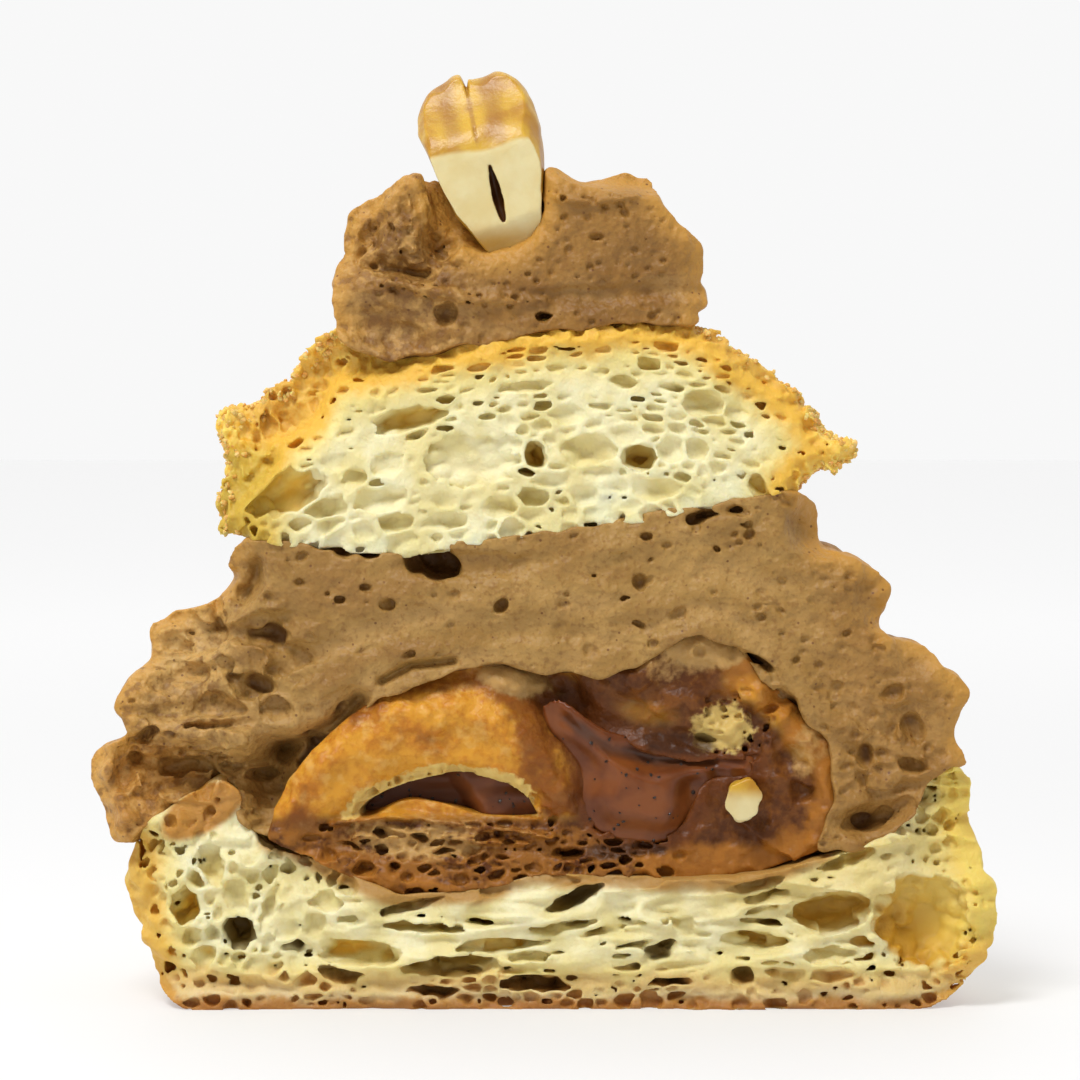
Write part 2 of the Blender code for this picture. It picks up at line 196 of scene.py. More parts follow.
# %% [markdown]
# ## How deep in the bun is a point?
#
# Baking browns a bun from the outside in, so colour and foam both depend on the depth below the
# outside of the whole bun, not of one layer. All layers are joined in one coarse field, the small
# gaps between them are closed, and the distance is measured again from what is left.

# %% Depth below the outside of the bun
DEEP_STEP = 0.7
BUN_REACH = 10.0
HALF_GAP = 0.3  # the layers grow by this much, so that the gaps between them close


def polygons_of(block, field):
    """The surface at zero of a field, as points in mm and four-cornered faces."""
    band = 3 * block.step
    grid = openvdb.FloatGrid(band)
    grid.copyFromArray(np.clip(field, -band, band), ijk=tuple(int(i) for i in block.first))
    grid.transform = openvdb.createLinearTransform(block.step)
    points, _, quads = grid.convertToPolygons(isovalue=0.0, adaptivity=0.0)
    return points, quads.astype(np.int64)


def whole_bun_block():
    """A coarse block that reaches as far in front of the cut as behind it."""
    block = block_round(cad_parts, DEEP_STEP, margin=4.0)
    low = [places[0] for places in block.places]
    high = [places[-1] for places in block.places]
    low[1] = 2 * CUT - high[1]
    return Block(low, high, DEEP_STEP)


def outside_without(left_out):
    """The distance to the outside of all layers but some, on the coarse block."""
    fields = [level_set(bun, *whole_skin(n), 3.0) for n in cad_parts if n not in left_out]
    points, quads = polygons_of(bun, np.min(fields, axis=0) - HALF_GAP)
    return level_set(bun, points, np.vstack([quads[:, :3], quads[:, [0, 2, 3]]]), BUN_REACH)


bun = whole_bun_block()
outside = outside_without(["nut"])
outside_of_dough = outside_without(["nut", "rosette"])
print(f"deepest point of the bun: {-outside.min():.1f} mm")


def depth_below(block, coarse_field):
    """How far below the outside of the bun, in mm."""
    return -spread(block, coarse_field, [places[0] for places in bun.places], (DEEP_STEP,) * 3)


# %% [markdown]
# ## Bubbles
#
# A bubble is an egg: its middle, half its width, depth and height, and a tilt. Where bubbles press
# against each other they share a flat wall, so each cell of space belongs to the bubble that it is
# deepest in, and a wall stands where two of them are equally near. That is how a foam looks.

# %% Bubbles and foam
FOAM_REACH = 7.0  # how far behind the cut the foam goes


def windows(block, bubbles):
    """For each bubble, the part of the block round it and the distance there to the bubble's skin."""
    layers = int(FOAM_REACH / block.step)
    for x, behind, z, across, deep, up, tilt in bubbles:
        size = max(across, up)
        ends = []
        middles = (x, CUT + behind, z)
        for places, middle, reach, last in zip(
            block.places, middles, (2 * size, 2 * deep, 2 * size), (None, layers, None)
        ):
            start, stop = np.searchsorted(places[:last], (middle - reach, middle + reach))
            ends.append(slice(int(start), int(stop)))
        right = block.x[ends[0]] - x
        back = block.y[:, ends[1]] - middles[1]
        rise = block.z[:, :, ends[2]] - z
        c, s = math.cos(math.radians(tilt)), math.sin(math.radians(tilt))
        along, upwards = c * right + s * rise, c * rise - s * right
        egg = (along / across) ** 2 + (back / deep) ** 2 + (upwards / up) ** 2
        yield tuple(ends), (np.sqrt(egg) - 1) * min(across, up, deep)


def foam(block, bubbles, wall, grow):
    """How far inside a bubble each cell of space near the cut is, below zero in walls and crumb."""
    layers = int(FOAM_REACH / block.step)
    nearest = np.full((block.count[0], layers, block.count[2]), 9.0, np.float32)
    second = nearest.copy()
    for window, skin in windows(block, bubbles):
        second[window] = np.minimum(second[window], np.maximum(nearest[window], skin))
        nearest[window] = np.minimum(nearest[window], skin)
    room = np.full(block.count, -1.0, np.float32)
    room[:, :layers] = np.minimum((second - nearest - wall[:, :layers]) / 2, grow - nearest)
    return room


def pores(block, bubbles):
    """The same for bubbles that lie apart in something dense, or run into each other."""
    room = np.full(block.count, -1.0, np.float32)
    for window, skin in windows(block, bubbles):
        room[window] = np.maximum(room[window], -skin)
    return room


print("bubbles go", FOAM_REACH, "mm deep")

# %% [markdown]
# A few large bubbles are known from the cut, and their places are written down. All others are
# thrown at random and kept where they fit: each is tried once, given a shape by a rule of its piece,
# and left out where it would crowd the ones before it. The seed is fixed, so that every run throws
# the same bubbles.

# %% Bubbles at random
def scattered(block, solid, given, tries, make, closeness, behind, seed, face=0.3):
    """Bubbles thrown at random into the solid near the cut, after the given ones, without crowding.

    face is how far the finished face lies behind the cut. A bubble of which only the tip would break
    through it is left out, because it would show as a black pinprick."""
    draw = random.Random(seed)
    bubbles = [tuple(bubble) for bubble in given]
    placed = np.full((len(bubbles) + tries, 6), 999.0)
    placed[: len(bubbles)] = [bubble[:6] for bubble in bubbles]
    edges = [(places[0], places[-1]) for places in block.places]
    for _ in range(tries):
        x, z = draw.uniform(*edges[0]), draw.uniform(*edges[2])
        depth = draw.uniform(*behind)
        i, j, k = (int((p - e[0]) / block.step) for p, e in zip((x, CUT + depth, z), edges))
        shape = make(x, z, solid[i, max(j, 0), k], draw)
        if shape is None:
            continue
        across, deep, up, tilt = shape
        if 0.5 < (depth - face) / deep < 1.2:
            continue
        here = np.array((x, depth, z, 0, 0, 0))
        size = np.array((across, deep, up))
        others = placed[: len(bubbles)] - here
        apart = (others[:, :3] / (others[:, 3:] + size)) ** 2
        if apart.sum(axis=1).min() < closeness**2:
            continue
        placed[len(bubbles)] = (x, depth, z, *size)
        bubbles.append((x, depth, z, across, deep, up, tilt))
    return bubbles


def at_cut(*rows):
    """Bubbles that are known from the cut, as (across, height, half width, half height, tilt, depth)."""
    return [(x, 0.15 * deep, z, wide, deep, tall, tilt) for x, z, wide, tall, tilt, deep in rows]


sample_bubble = at_cut((0.0, 50.0, 2.0, 1.0, 10, 3.0))[0]
print(f"a bubble seen on the cut has its middle {sample_bubble[1]:.2f} mm behind it")

# %% [markdown]
# The way back to a mesh is to march through the cells where the field changes its sign. That gives
# a skin with four corners to every face. Scraps that hang loose and bubbles that are shut would be
# surfaces that nobody needs, so only the largest connected skin is kept.

# %% From a field to a mesh
def largest_island(count, quads):
    """Which points belong to the largest connected surface. The rest is scraps and shut bubbles."""
    label = np.arange(count)
    while True:
        lowest = label[quads].min(axis=1)
        fresh = label.copy()
        for corner in quads.T:
            np.minimum.at(fresh, corner, lowest)
        fresh = fresh[fresh]
        if np.array_equal(fresh, label):
            break
        label = fresh
    return label == np.bincount(label).argmax()


def plain_mesh(name, points, quads):
    """A mesh from points in mm and four-cornered faces."""
    mesh = bpy.data.meshes.new(name)
    mesh.vertices.add(len(points))
    mesh.vertices.foreach_set("co", (points * MM).astype(np.float32).ravel())
    mesh.loops.add(quads.size)
    mesh.loops.foreach_set("vertex_index", quads.astype(np.int32).ravel())
    mesh.polygons.add(len(quads))
    mesh.polygons.foreach_set("loop_start", np.arange(0, quads.size, 4, dtype=np.int32))
    mesh.update(calc_edges=True)
    return mesh


sample_faces = np.array([[0, 1, 2, 3], [2, 3, 4, 5], [6, 7, 8, 9]])
print("the larger of two islands has", largest_island(10, sample_faces).sum(), "of 10 points")

# %% [markdown]
# The Decimate modifier takes away the faces that are missed least. It runs first on the back alone,
# and then, if the piece still has too many, on all of it. A modifier is only a plan, so each one is
# worked into the mesh before the next step.

# %% The right number of faces
MANY_FACES = 190000  # for a large piece with fine foam or relief
CLOSE_BEHIND = 6.0  # what lies further behind the cut, in mm, can do with fewer faces
SPARED_BEHIND = 0.75  # the share of the faces there that goes


def baked(obj):
    """The object with its modifiers worked into a plain mesh."""
    graph = bpy.context.evaluated_depsgraph_get()
    mesh = bpy.data.meshes.new_from_object(obj.evaluated_get(graph))
    obj.modifiers.clear()
    obj.data = mesh
    mesh.name = obj.name
    return obj


def thinned(obj, share, group=""):
    """The object with that share of its triangles, and only a group of its points touched."""
    fewer = obj.modifiers.new("fewer faces", "DECIMATE")
    fewer.ratio = share
    fewer.vertex_group = group
    baked(obj)


def food(name, block, field, most_faces):
    """A piece from its field, with no more than so many triangles, and the fewest of them behind."""
    points, quads = polygons_of(block, field)
    kept = largest_island(len(points), quads)
    index = np.cumsum(kept) - 1
    quads = index[quads[kept[quads[:, 0]]]]
    obj = bpy.data.objects.new(name, plain_mesh(name, points[kept], quads))
    bpy.context.scene.collection.objects.link(obj)
    triangles = 2 * len(quads)
    if triangles > most_faces:
        is_behind = points[kept][:, 1] > CUT + CLOSE_BEHIND
        behind = obj.vertex_groups.new(name="behind")
        behind.add(np.flatnonzero(is_behind).tolist(), 1.0, "REPLACE")
        left = 1 - SPARED_BEHIND * is_behind[quads].all(axis=1).mean()
        thinned(obj, left, "behind")
        obj.vertex_groups.clear()
        if left * triangles > most_faces:
            thinned(obj, most_faces / (left * triangles))
    obj.data.shade_smooth()
    print(f"{name}: {triangles} triangles, kept {sum(len(p.vertices) - 2 for p in obj.data.polygons)}")
    return obj


print("a large piece keeps", MANY_FACES, "triangles at most")

# %% [markdown]
# A finish has to know where it is: how deep in a hollow, how near to the crust. Such numbers are read
# from the fields at each point of the mesh, and stored there as attributes, which a material reads.

# %% Numbers on the points of a piece
def places_of(obj):
    """The corner points of a piece in mm."""
    flat = np.empty(3 * len(obj.data.vertices), np.float32)
    obj.data.vertices.foreach_get("co", flat)
    return flat.reshape(-1, 3) / MM


def read_field(block, field, points):
    """The field's value at points, blended between cells."""
    along = (points - [places[0] for places in block.places]) / block.step
    cell = np.clip(np.floor(along).astype(int), 0, np.array(field.shape) - 2)
    t = np.clip(along - cell, 0, 1)
    value = 0
    for corner in np.ndindex(2, 2, 2):
        share = np.prod(np.where(corner, t, 1 - t), axis=1)
        value = value + share * field[tuple((cell + corner).T)]
    return value


def paint(obj, name, values):
    """Stores a number at each point of a piece, for its material."""
    layer = obj.data.attributes.new(name, "FLOAT", "POINT")
    layer.data.foreach_set("value", np.asarray(values, np.float32))


corner = read_field(sample, 0 * sample.y + 0 * sample.z + sample.x, np.array([[-5.0, 0.0, 75.0]]))
print(f"a field of widths, read at 5 mm to the left, says {corner[0]:.2f} mm")

# %% [markdown]
# Relief and colour both follow places on the cut. Three shapes say where, and each fades out: a ramp
# between two values, soft spots, and soft ridges along a line.

# %% Ramps, spots and folds
def ramp(field, start, stop):
    """0 before start, 1 after stop, smooth between them. start may be the larger."""
    t = np.clip((field - start) / (stop - start), 0, 1)
    return t * t * (3 - 2 * t)


def spots(x, z, rows):
    """A sum of soft spots, given as (across, height, half width, half height, tilt, amount)."""
    total = 0
    for across, height, wide, tall, tilt, amount in rows:
        c, s = math.cos(math.radians(tilt)), math.sin(math.radians(tilt))
        right, rise = x - across, z - height
        off = ((c * right + s * rise) / wide) ** 2 + ((c * rise - s * right) / tall) ** 2
        total = total + amount * np.exp(-(off**2))
    return total


def off_path(x, z, path):
    """How far each place is from a line through points (across, height)."""
    nearest = np.inf
    for (x0, z0), (x1, z1) in zip(path, path[1:]):
        along = ((x - x0) * (x1 - x0) + (z - z0) * (z1 - z0)) / ((x1 - x0) ** 2 + (z1 - z0) ** 2)
        along = np.clip(along, 0, 1)
        nearest = np.minimum(nearest, np.hypot(x - x0 - along * (x1 - x0), z - z0 - along * (z1 - z0)))
    return nearest


def folds(x, z, rows):
    """A sum of soft ridges, given as (path, half width, amount)."""
    return sum(amount * np.exp(-((off_path(x, z, path) / wide) ** 2)) for path, wide, amount in rows)


print("halfway up a ramp:", ramp(1.5, 1, 2), "- at the edge of a spot:", round(float(np.exp(-1.0)), 2))

# %% [markdown]
# ## The lid
#
# The lid is foam: the oven blew it up, and its bubbles lie flat under the crust and are rounder in
# the middle. A thin layer of sugar dough was baked on it and broke into crumbs, so its outside is all
# small grains. Folding lumps back on themselves gives round grains with sharp creases between them.

# %% Bubbles and worn spots of the lid
FINE = 0.2  # size of a cell of space, in mm

LID_BUBBLES = at_cut(
    (-12.2, 53.4, 4.6, 1.15, 17, 2.8),
    (-23.2, 46.8, 4.5, 2.1, 20, 3.0),
    (-6.4, 49.7, 5.2, 3.0, 12, 1.1),
    (-0.6, 50.2, 1.1, 1.5, 10, 3.0),
    (-1.4, 48.8, 1.7, 0.5, -4, 2.6),
    (8.9, 50.0, 1.7, 1.3, -8, 3.2),
    (14.6, 55.0, 2.1, 1.4, -8, 2.0),
    (17.7, 54.2, 1.3, 1.1, -30, 1.8),
    (7.4, 56.8, 1.6, 0.7, -30, 1.6),
    (11.6, 50.8, 1.3, 1.4, 10, 1.0),
    (-19.3, 45.5, 2.4, 1.0, 14, 1.9),
    (-14.6, 46.2, 2.8, 1.3, 10, 1.3),
    (-13.2, 44.2, 2.2, 0.9, 6, 1.4),
    (-16.8, 48.3, 1.3, 0.8, 12, 1.4),
    (-3.6, 45.7, 2.2, 1.0, 8, 1.5),
    (-8.6, 44.3, 2.6, 0.9, 4, 1.5),
    (19.4, 47.6, 0.9, 1.3, 20, 2.4),
    (-1.6, 56.4, 3.6, 0.6, 10, 1.2),
)

LID_WORN = (
    (-24.0, 56.0, 6.0, 5.0, 25, 2.6),
    (-14.0, 60.0, 7.0, 3.0, 20, 1.6),
    (-23.0, 52.0, 5.0, 2.0, 40, 0.8),
    (22.0, 53.5, 5.0, 3.5, -40, 1.0),
    (3.0, 61.5, 9.0, 1.6, 8, -0.6),
)
print(len(LID_BUBBLES), "bubbles of the lid are known from the cut")

# %% [markdown]
# Each piece is then made in the same order: the skin with its relief, the bubbles, the cut face with
# its own relief, the mesh, and the numbers for its finish.

# %% The lid
def grains(block, size, depth, seed):
    """Round grains with creases between them."""
    return depth * (np.abs(lumps(block, size, seed)) - 0.4)


def lid_dish(x, z, depth, draw):
    """The shape of a large shallow bubble that the knife just opened, or none."""
    if depth > -1.0 or z > 54 - 0.012 * x * x:
        return None
    across = draw.uniform(1.2, 2.8)
    return across, draw.uniform(0.7, 1.4), across * draw.uniform(0.4, 0.7), 14 - 0.9 * (x + 6)


def lid_bubble(x, z, depth, draw):
    """The shape of a random bubble in the lid, or none."""
    if depth > -0.3:
        return None
    if z > 53.5 - 0.012 * x * x:
        across = draw.uniform(0.55, 1.5)
        return across, across, across * draw.uniform(0.28, 0.5), 10 - 1.1 * (x + 6)
    across = draw.uniform(0.6, 1.0) if draw.random() < 0.6 else draw.uniform(1.0, 2.0)
    return across, across * draw.uniform(0.4, 1.0), across * draw.uniform(0.5, 0.85), 12 - 0.9 * (x + 6)


def make_lid():
    block = block_round(["lid"], FINE)
    skin = distance_to("lid", block)
    below = depth_below(block, outside_of_dough)
    below -= 3.0 * ramp(block.x, -11, -21) * ramp(block.z - 0.3 * block.x, 52.5, 57.0)
    sugar = ramp(below, 2.2, 0.7)
    skin -= sugar * (grains(block, 2.2, 0.9, 11) + grains(block, 1.0, 0.5, 12))
    skin -= (1 - sugar) * (0.3 * lumps(block, 1.6, 13) + 0.25)
    dishes = scattered(block, skin, LID_BUBBLES, 500, lid_dish, 0.8, (-0.3, 0.3), 19)
    bubbles = scattered(block, skin, dishes, 20000, lid_bubble, 0.74, (-0.5, 4.2), 14)
    wall = 0.26 + 0.08 * lumps(block, 3.0, 15)
    room = foam(block, bubbles, wall, 0.35)
    room = np.minimum(room, (below - 2.2 - 0.5 * lumps(block, 3.0, 16)) * 0.8)
    worn = spots(block.x, block.z, LID_WORN) + 1.5 * ramp(below, 2.4, 0.2)
    worn = worn + ramp(below, 2.6, 1.4) * (grains(block, 1.5, 1.0, 9) + grains(block, 0.8, 0.5, 10) + 0.2)
    front = CUT + worn + 0.3 * lumps(block, 4.0, 18) + 0.14 * lumps(block, 0.9, 17) + 0.3 - block.y
    solid = np.maximum(np.maximum(skin, front), room)
    lid = food("lid_baked", block, solid, MANY_FACES)
    points = places_of(lid)
    crust = read_field(block, below, points)
    paint(lid, "below", crust)
    paint(lid, "hollow", np.clip(read_field(block, -front, points), 0, 9))
    open_air = ramp(read_field(block, depth_below(block, outside), points), 2.2, 1.2)
    paint(lid, "grainy", ramp(crust, 1.3, 0.7) * open_air)
    print(f"{len(bubbles)} bubbles in the lid")
    return lid


lid = make_lid()

# %% [markdown]
# ## The lower bun
#
# The base is the same dough, but the filling pressed on it: its bubbles are flat slits between soft
# layers. Only at its rims did it stay tall, with big bubbles behind a thin glassy wall, and next to
# the baking sheet it is a brown crust full of pinholes.

# %% Bubbles of the lower bun
BUN_BUBBLES = at_cut(
    (34.8, 8.0, 4.6, 5.0, 10, 3.4),
    (26.0, 8.8, 3.6, 1.8, 8, 4.2),
    (19.4, 6.3, 2.9, 1.15, -8, 2.6),
    (18.2, 3.1, 1.1, 1.0, 0, 2.6),
    (10.6, 5.2, 1.7, 0.8, 24, 2.8),
    (13.6, 7.6, 2.3, 0.8, -10, 1.2),
    (3.2, 10.2, 1.9, 0.5, 26, 2.2),
    (5.6, 7.0, 2.6, 0.5, 10, 2.0),
    (1.6, 7.3, 2.2, 0.45, 8, 1.8),
    (0.4, 4.9, 3.0, 0.5, 4, 1.8),
    (-0.4, 2.3, 3.4, 0.7, -4, 3.0),
    (-9.6, 1.6, 3.0, 0.5, -6, 2.4),
    (-7.6, 3.9, 4.0, 0.9, 2, 3.0),
    (-17.0, 5.2, 3.6, 0.9, -4, 2.4),
    (-22.2, 5.6, 1.9, 0.5, -4, 2.6),
    (-27.4, 7.1, 1.7, 1.9, 10, 3.6),
    (-32.2, 9.3, 1.5, 2.0, -6, 3.4),
    (-29.8, 13.0, 1.3, 2.1, 8, 2.2),
    (-27.6, 10.2, 1.3, 2.2, 14, 1.4),
    (-18.2, 3.0, 1.8, 0.6, -8, 2.2),
    (-3.0, 5.9, 3.4, 0.45, 4, 1.8),
    (-10.6, 7.6, 2.6, 0.35, -3, 1.5),
    (12.0, 2.6, 2.2, 0.5, 2, 2.0),
    (25.6, 4.9, 2.2, 0.6, 2, 1.4),
    (20.6, 11.4, 2.4, 0.35, 8, 1.4),
    (27.6, 13.5, 2.0, 0.35, 22, 1.2),
    (-31.0, 11.8, 0.9, 1.0, 20, 1.6),
    (-24.6, 9.6, 0.6, 2.6, -24, 1.6),
    (-22.4, 11.8, 0.5, 1.9, -30, 1.6),
    (-19.6, 9.9, 1.8, 0.9, 14, 1.0),
    (8.4, 3.9, 1.8, 0.45, 10, 1.6),
    (21.9, 3.3, 1.8, 0.7, -4, 1.4),
    (26.2, 3.0, 1.6, 0.6, 0, 1.3),
    (-24.8, 3.9, 2.0, 0.9, 0, 1.2),
    (-26.0, 2.2, 1.3, 0.9, 10, 1.4),
    (-21.4, 2.6, 1.3, 0.8, 0, 1.2),
)
print(len(BUN_BUBBLES), "bubbles of the lower bun are known from the cut")

# %% [markdown]
# Some of its deepest slits are painted nearly black, as shade, and the knife pulled crumb out of both
# rims and pressed some up in the middle. A flap of crumb on the left took up the colour of the filling.

# %% Painted shade and worn spots of the lower bun
BUN_SLIT_SHADE = (
    (-27.4, 7.1, 2.2, 2.4, 10, 1.0),
    (10.8, 5.0, 2.4, 1.3, 24, 1.0),
    (-0.6, 2.3, 4.4, 1.2, -4, 1.0),
    (-9.6, 1.6, 3.8, 0.9, -6, 1.0),
    (-22.2, 5.6, 2.6, 1.0, -4, 1.0),
    (18.4, 3.1, 1.6, 1.4, 0, 0.8),
    (3.4, 10.2, 2.6, 1.0, 26, 1.0),
    (-18.2, 3.0, 2.6, 1.0, -8, 0.8),
    (12.2, 2.4, 3.0, 0.9, 2, 1.0),
    (-7.6, 3.9, 4.6, 1.3, 2, 0.6),
)
BUN_WORN = (
    (-37.0, 12.0, 3.4, 6.0, 0, 1.6),
    (37.0, 17.0, 4.0, 6.0, -20, 2.0),
    (33.0, 20.6, 2.6, 2.4, 0, 1.6),
    (-36.0, 2.0, 4.0, 3.0, 40, 1.6),
    (24.0, 15.6, 5.0, 1.4, 24, -0.5),
    (-21.5, 13.0, 3.0, 1.8, -24, 1.2),
)
BUN_FLAP = ((-30.4, 18.2, 4.8, 2.2, 30, 1.1),)
print(len(BUN_SLIT_SHADE), "dark slits and", len(BUN_WORN), "worn spots on the lower bun")

# %% [markdown]
# The rule for random bubbles follows the place: pinholes near the sheet, upright ones at the left
# rim, round ones at the right, and flat slits in the middle.

# %% The lower bun
def bun_bubble(x, z, depth, draw):
    """The shape of a random bubble in the lower bun, or none."""
    if depth > -0.3:
        return None
    if z < 3.0:
        across = draw.uniform(0.35, 1.0)
        return across, across, across * draw.uniform(0.45, 0.8), draw.uniform(-10, 10)
    if x < -20 + 0.5 * (z - 6):
        across = draw.uniform(0.45, 1.1)
        return across, across * 1.2, across * draw.uniform(1.0, 2.0), draw.uniform(-40, 10)
    if x > 31:
        across = draw.uniform(0.4, 0.9)
        return across, across, across, 0
    if draw.random() < (0.93 if z < 7.2 + 0.12 * x else 0.993):
        return None
    across = draw.uniform(0.8, 3.2)
    return across, across * draw.uniform(0.3, 0.8), draw.uniform(0.18, 0.45), draw.uniform(-8, 18)


def make_lower_bun():
    block = block_round(["lower_bun"], FINE)
    skin = distance_to("lower_bun", block)
    below = depth_below(block, outside)
    crust = ramp(below, 2.2, 0.5) * ramp(block.z, 0.4, 2.5)
    skin -= crust * (grains(block, 2.6, 0.5, 21) + grains(block, 1.2, 0.25, 22))
    skin -= (1 - crust) * ramp(block.z, 0.3, 1.5) * (0.16 * lumps(block, (2.2, 1.6, 1.0), 23) + 0.2)
    bubbles = scattered(block, skin, BUN_BUBBLES, 16000, bun_bubble, 0.78, (-0.3, 3.6), 24)
    wall = 0.26 + 0.12 * lumps(block, (5.0, 4.0, 2.0), 25) + 0.1 * ramp(block.z, 2.5, 4.0)
    room = foam(block, bubbles, wall, 0.25)
    room += 0.12 * lumps(block, (1.0, 1.0, 0.6), 29) * ramp(block.z, 2.5, 4.0)
    shut = np.where(block.z < 3.0, 0.4, 1.4)
    room = np.minimum(room, (below - shut - 0.4 * lumps(block, 3.0, 26)) * 0.8)
    worn = spots(block.x, block.z, BUN_WORN) + 1.0 * ramp(below, 2.0, 0.2) * ramp(block.z, 0.2, 2.0)
    layers = 0.6 * lumps(block, (7.0, 3.0, 1.6), 27) + 0.22 * lumps(block, (1.6, 1.5, 0.7), 28)
    layers += 0.2 * lumps(block, (4.0, 2.0, 0.7), 30)
    edges = np.exp(-((lumps(block, (7.0, 3.0, 1.8), 31) / 0.25) ** 2))
    layers -= 0.6 * edges * ramp(block.x, -22.0, -16.0) * ramp(block.z, 2.5, 4.5)
    front = CUT + worn + layers + 0.4 - block.y
    solid = np.maximum(np.maximum(skin, front), room)
    base = food("lower_bun_baked", block, solid, MANY_FACES)
    points = places_of(base)
    paint(base, "below", read_field(block, below, points))
    paint(base, "hollow", np.clip(read_field(block, -front, points), 0, 9))
    paint(base, "soaked", ramp(read_field(block, distance_to("small_choux", block), points), 3.0, 0.2))
    # Painted shade: marks the listed deep slits, to be painted nearly black.
    paint(base, "dark", spots(points[:, 0], points[:, 2], BUN_SLIT_SHADE))
    paint(base, "flap", spots(points[:, 0], points[:, 2], BUN_FLAP))
    print(f"{len(bubbles)} bubbles in the lower bun")
    return base


lower_bun = make_lower_bun()

# %% [markdown]
# ## The praline cream
#
# Whipped cream is a foam too, but its bubbles are far apart and round. The knife smeared it in long
# bands that follow the layers, so the cut face waves with the distance to the choux below it.

# %% Gaps in the cream
CREAM_GAPS = at_cut(
    (-9.3, 40.6, 2.6, 1.5, -20, 5.0),
    (-16.4, 41.6, 1.9, 0.6, -4, 3.0),
    (15.2, 44.8, 2.2, 0.55, 12, 3.0),
    (-21.2, 23.2, 2.4, 1.7, 48, 5.0),
    (-18.4, 26.6, 2.0, 0.6, 52, 3.0),
    (-24.5, 33.9, 2.4, 1.2, -12, 2.6),
    (-25.6, 29.5, 2.8, 0.9, -16, 2.2),
    (-28.6, 31.4, 1.2, 0.8, 0, 1.8),
    (-33.0, 21.8, 2.6, 1.2, -12, 3.4),
    (-35.8, 24.8, 1.2, 0.8, 30, 1.8),
    (19.1, 31.7, 1.8, 0.45, -26, 3.0),
    (22.3, 28.0, 2.2, 0.5, -44, 2.4),
    (30.0, 17.2, 2.8, 1.0, 14, 3.2),
    (30.9, 24.4, 0.9, 0.5, -8, 1.6),
    (29.4, 23.2, 0.8, 1.1, 0, 1.6),
    (33.6, 25.6, 1.0, 1.4, 20, 1.5),
    (31.6, 28.6, 1.1, 0.6, 30, 1.2),
    (-20.8, 33.9, 0.8, 0.5, -30, 1.1),
    (-20.9, 30.4, 0.7, 0.55, 30, 1.0),
    (-7.3, 36.4, 0.75, 0.4, 8, 0.9),
    (8.9, 38.8, 0.5, 0.65, 0, 1.0),
    (9.0, 35.0, 0.9, 0.35, -10, 0.8),
    (24.2, 33.4, 0.8, 0.4, -20, 0.9),
    (-12.6, 27.9, 1.4, 0.3, 28, 1.0),
)
print(len(CREAM_GAPS), "gaps and pores of the cream are known from the cut")

# %% [markdown]
# Where the cream stuck to the knife it tore and left rough hollows, mostly at the sides. Its piped
# lobes lie further back than the cut, and ridges and grooves run where two of them meet. A list of
# lines paints lighter and darker bands on the left: partly smears, partly painted light on a ridge and
# painted shade under the ridge above it.

# %% Torn and worn spots, folds, and lit and shaded smears of the cream
CREAM_TORN = (
    (-26.5, 32.0, 7.0, 5.6, -20, 1.3),
    (-32.0, 22.0, 6.5, 4.6, -10, 1.9),
    (-24.0, 18.5, 3.4, 3.4, 20, 1.0),
    (31.5, 22.6, 4.0, 5.0, 0, 0.9),
    (19.5, 30.0, 4.0, 1.4, -35, 0.8),
)
CREAM_WORN = (
    (-33.5, 33.2, 4.6, 4.6, 20, 3.6),
    (-27.6, 38.8, 2.3, 3.0, -10, 2.2),
    (-40.0, 21.0, 3.0, 5.0, 0, 2.0),
    (-31.5, 21.6, 5.2, 2.2, -8, 2.6),
    (-24.0, 21.4, 3.0, 3.2, -30, 3.0),
    (31.0, 37.4, 2.6, 3.2, 0, 1.6),
    (25.0, 43.8, 2.6, 2.6, 0, 3.0),
    (34.0, 33.0, 2.0, 2.4, 0, 1.2),
    (30.0, 17.4, 3.6, 1.3, 14, 1.8),
    (-6.5, 40.3, 6.0, 1.2, 2, 1.2),
)
CREAM_FOLDS = (
    (((-28.3, 38.9), (-29.7, 37.6), (-29.3, 35.3), (-28.9, 34.1)), 0.7, 2.2),
    (((-25.6, 40.5), (-25.8, 38.9), (-27.0, 37.2)), 0.6, 1.4),
    (((-36.5, 30.2), (-33.5, 30.6), (-29.9, 31.8)), 0.6, -1.2),
    (((-36.6, 25.4), (-33.0, 24.8), (-27.0, 24.6)), 1.0, -2.0),
    (((-38.6, 24.4), (-39.2, 21.4), (-37.6, 17.6)), 0.9, -1.6),
    (((-36.7, 24.2), (-37.0, 22.4)), 0.8, 1.8),
    (((-16.6, 27.8), (-18.8, 25.6), (-21.4, 24.0), (-23.7, 22.9)), 0.9, 3.4),
    (((-23.7, 22.7), (-24.6, 20.6), (-25.0, 18.6)), 1.6, 2.6),
    (((-8.0, 31.6), (-11.8, 31.2), (-14.4, 29.8)), 0.4, 1.4),
    (((5.0, 41.6), (14.0, 43.4), (19.0, 44.8)), 0.8, -0.5),
    (((-12.0, 36.8), (-2.0, 37.8), (8.0, 37.2), (16.0, 35.0)), 1.4, -0.5),
    (((-19.0, 30.6), (-14.0, 32.8), (-6.0, 34.2), (4.0, 34.0)), 0.9, 0.45),
)
CREAM_SMEARS_LIT_AND_SHADED = (  # a lighter band on a ridge, a darker one under the ridge above: partly smear, partly painted light and shade
    (((-35.0, 25.8), (-30.0, 25.4), (-26.0, 25.8), (-21.0, 27.5)), 1.6, 1.5),
    (((-37.0, 29.2), (-33.5, 28.8), (-30.0, 28.6)), 1.6, -1.2),
)
print(len(CREAM_TORN), "torn spots and", len(CREAM_FOLDS), "folds in the cream")

# %% [markdown]
# The gaps above were left when one turn of the piping bag was laid on another. Between them the
# cream is dense, with small round pores that grow in number towards the sides.

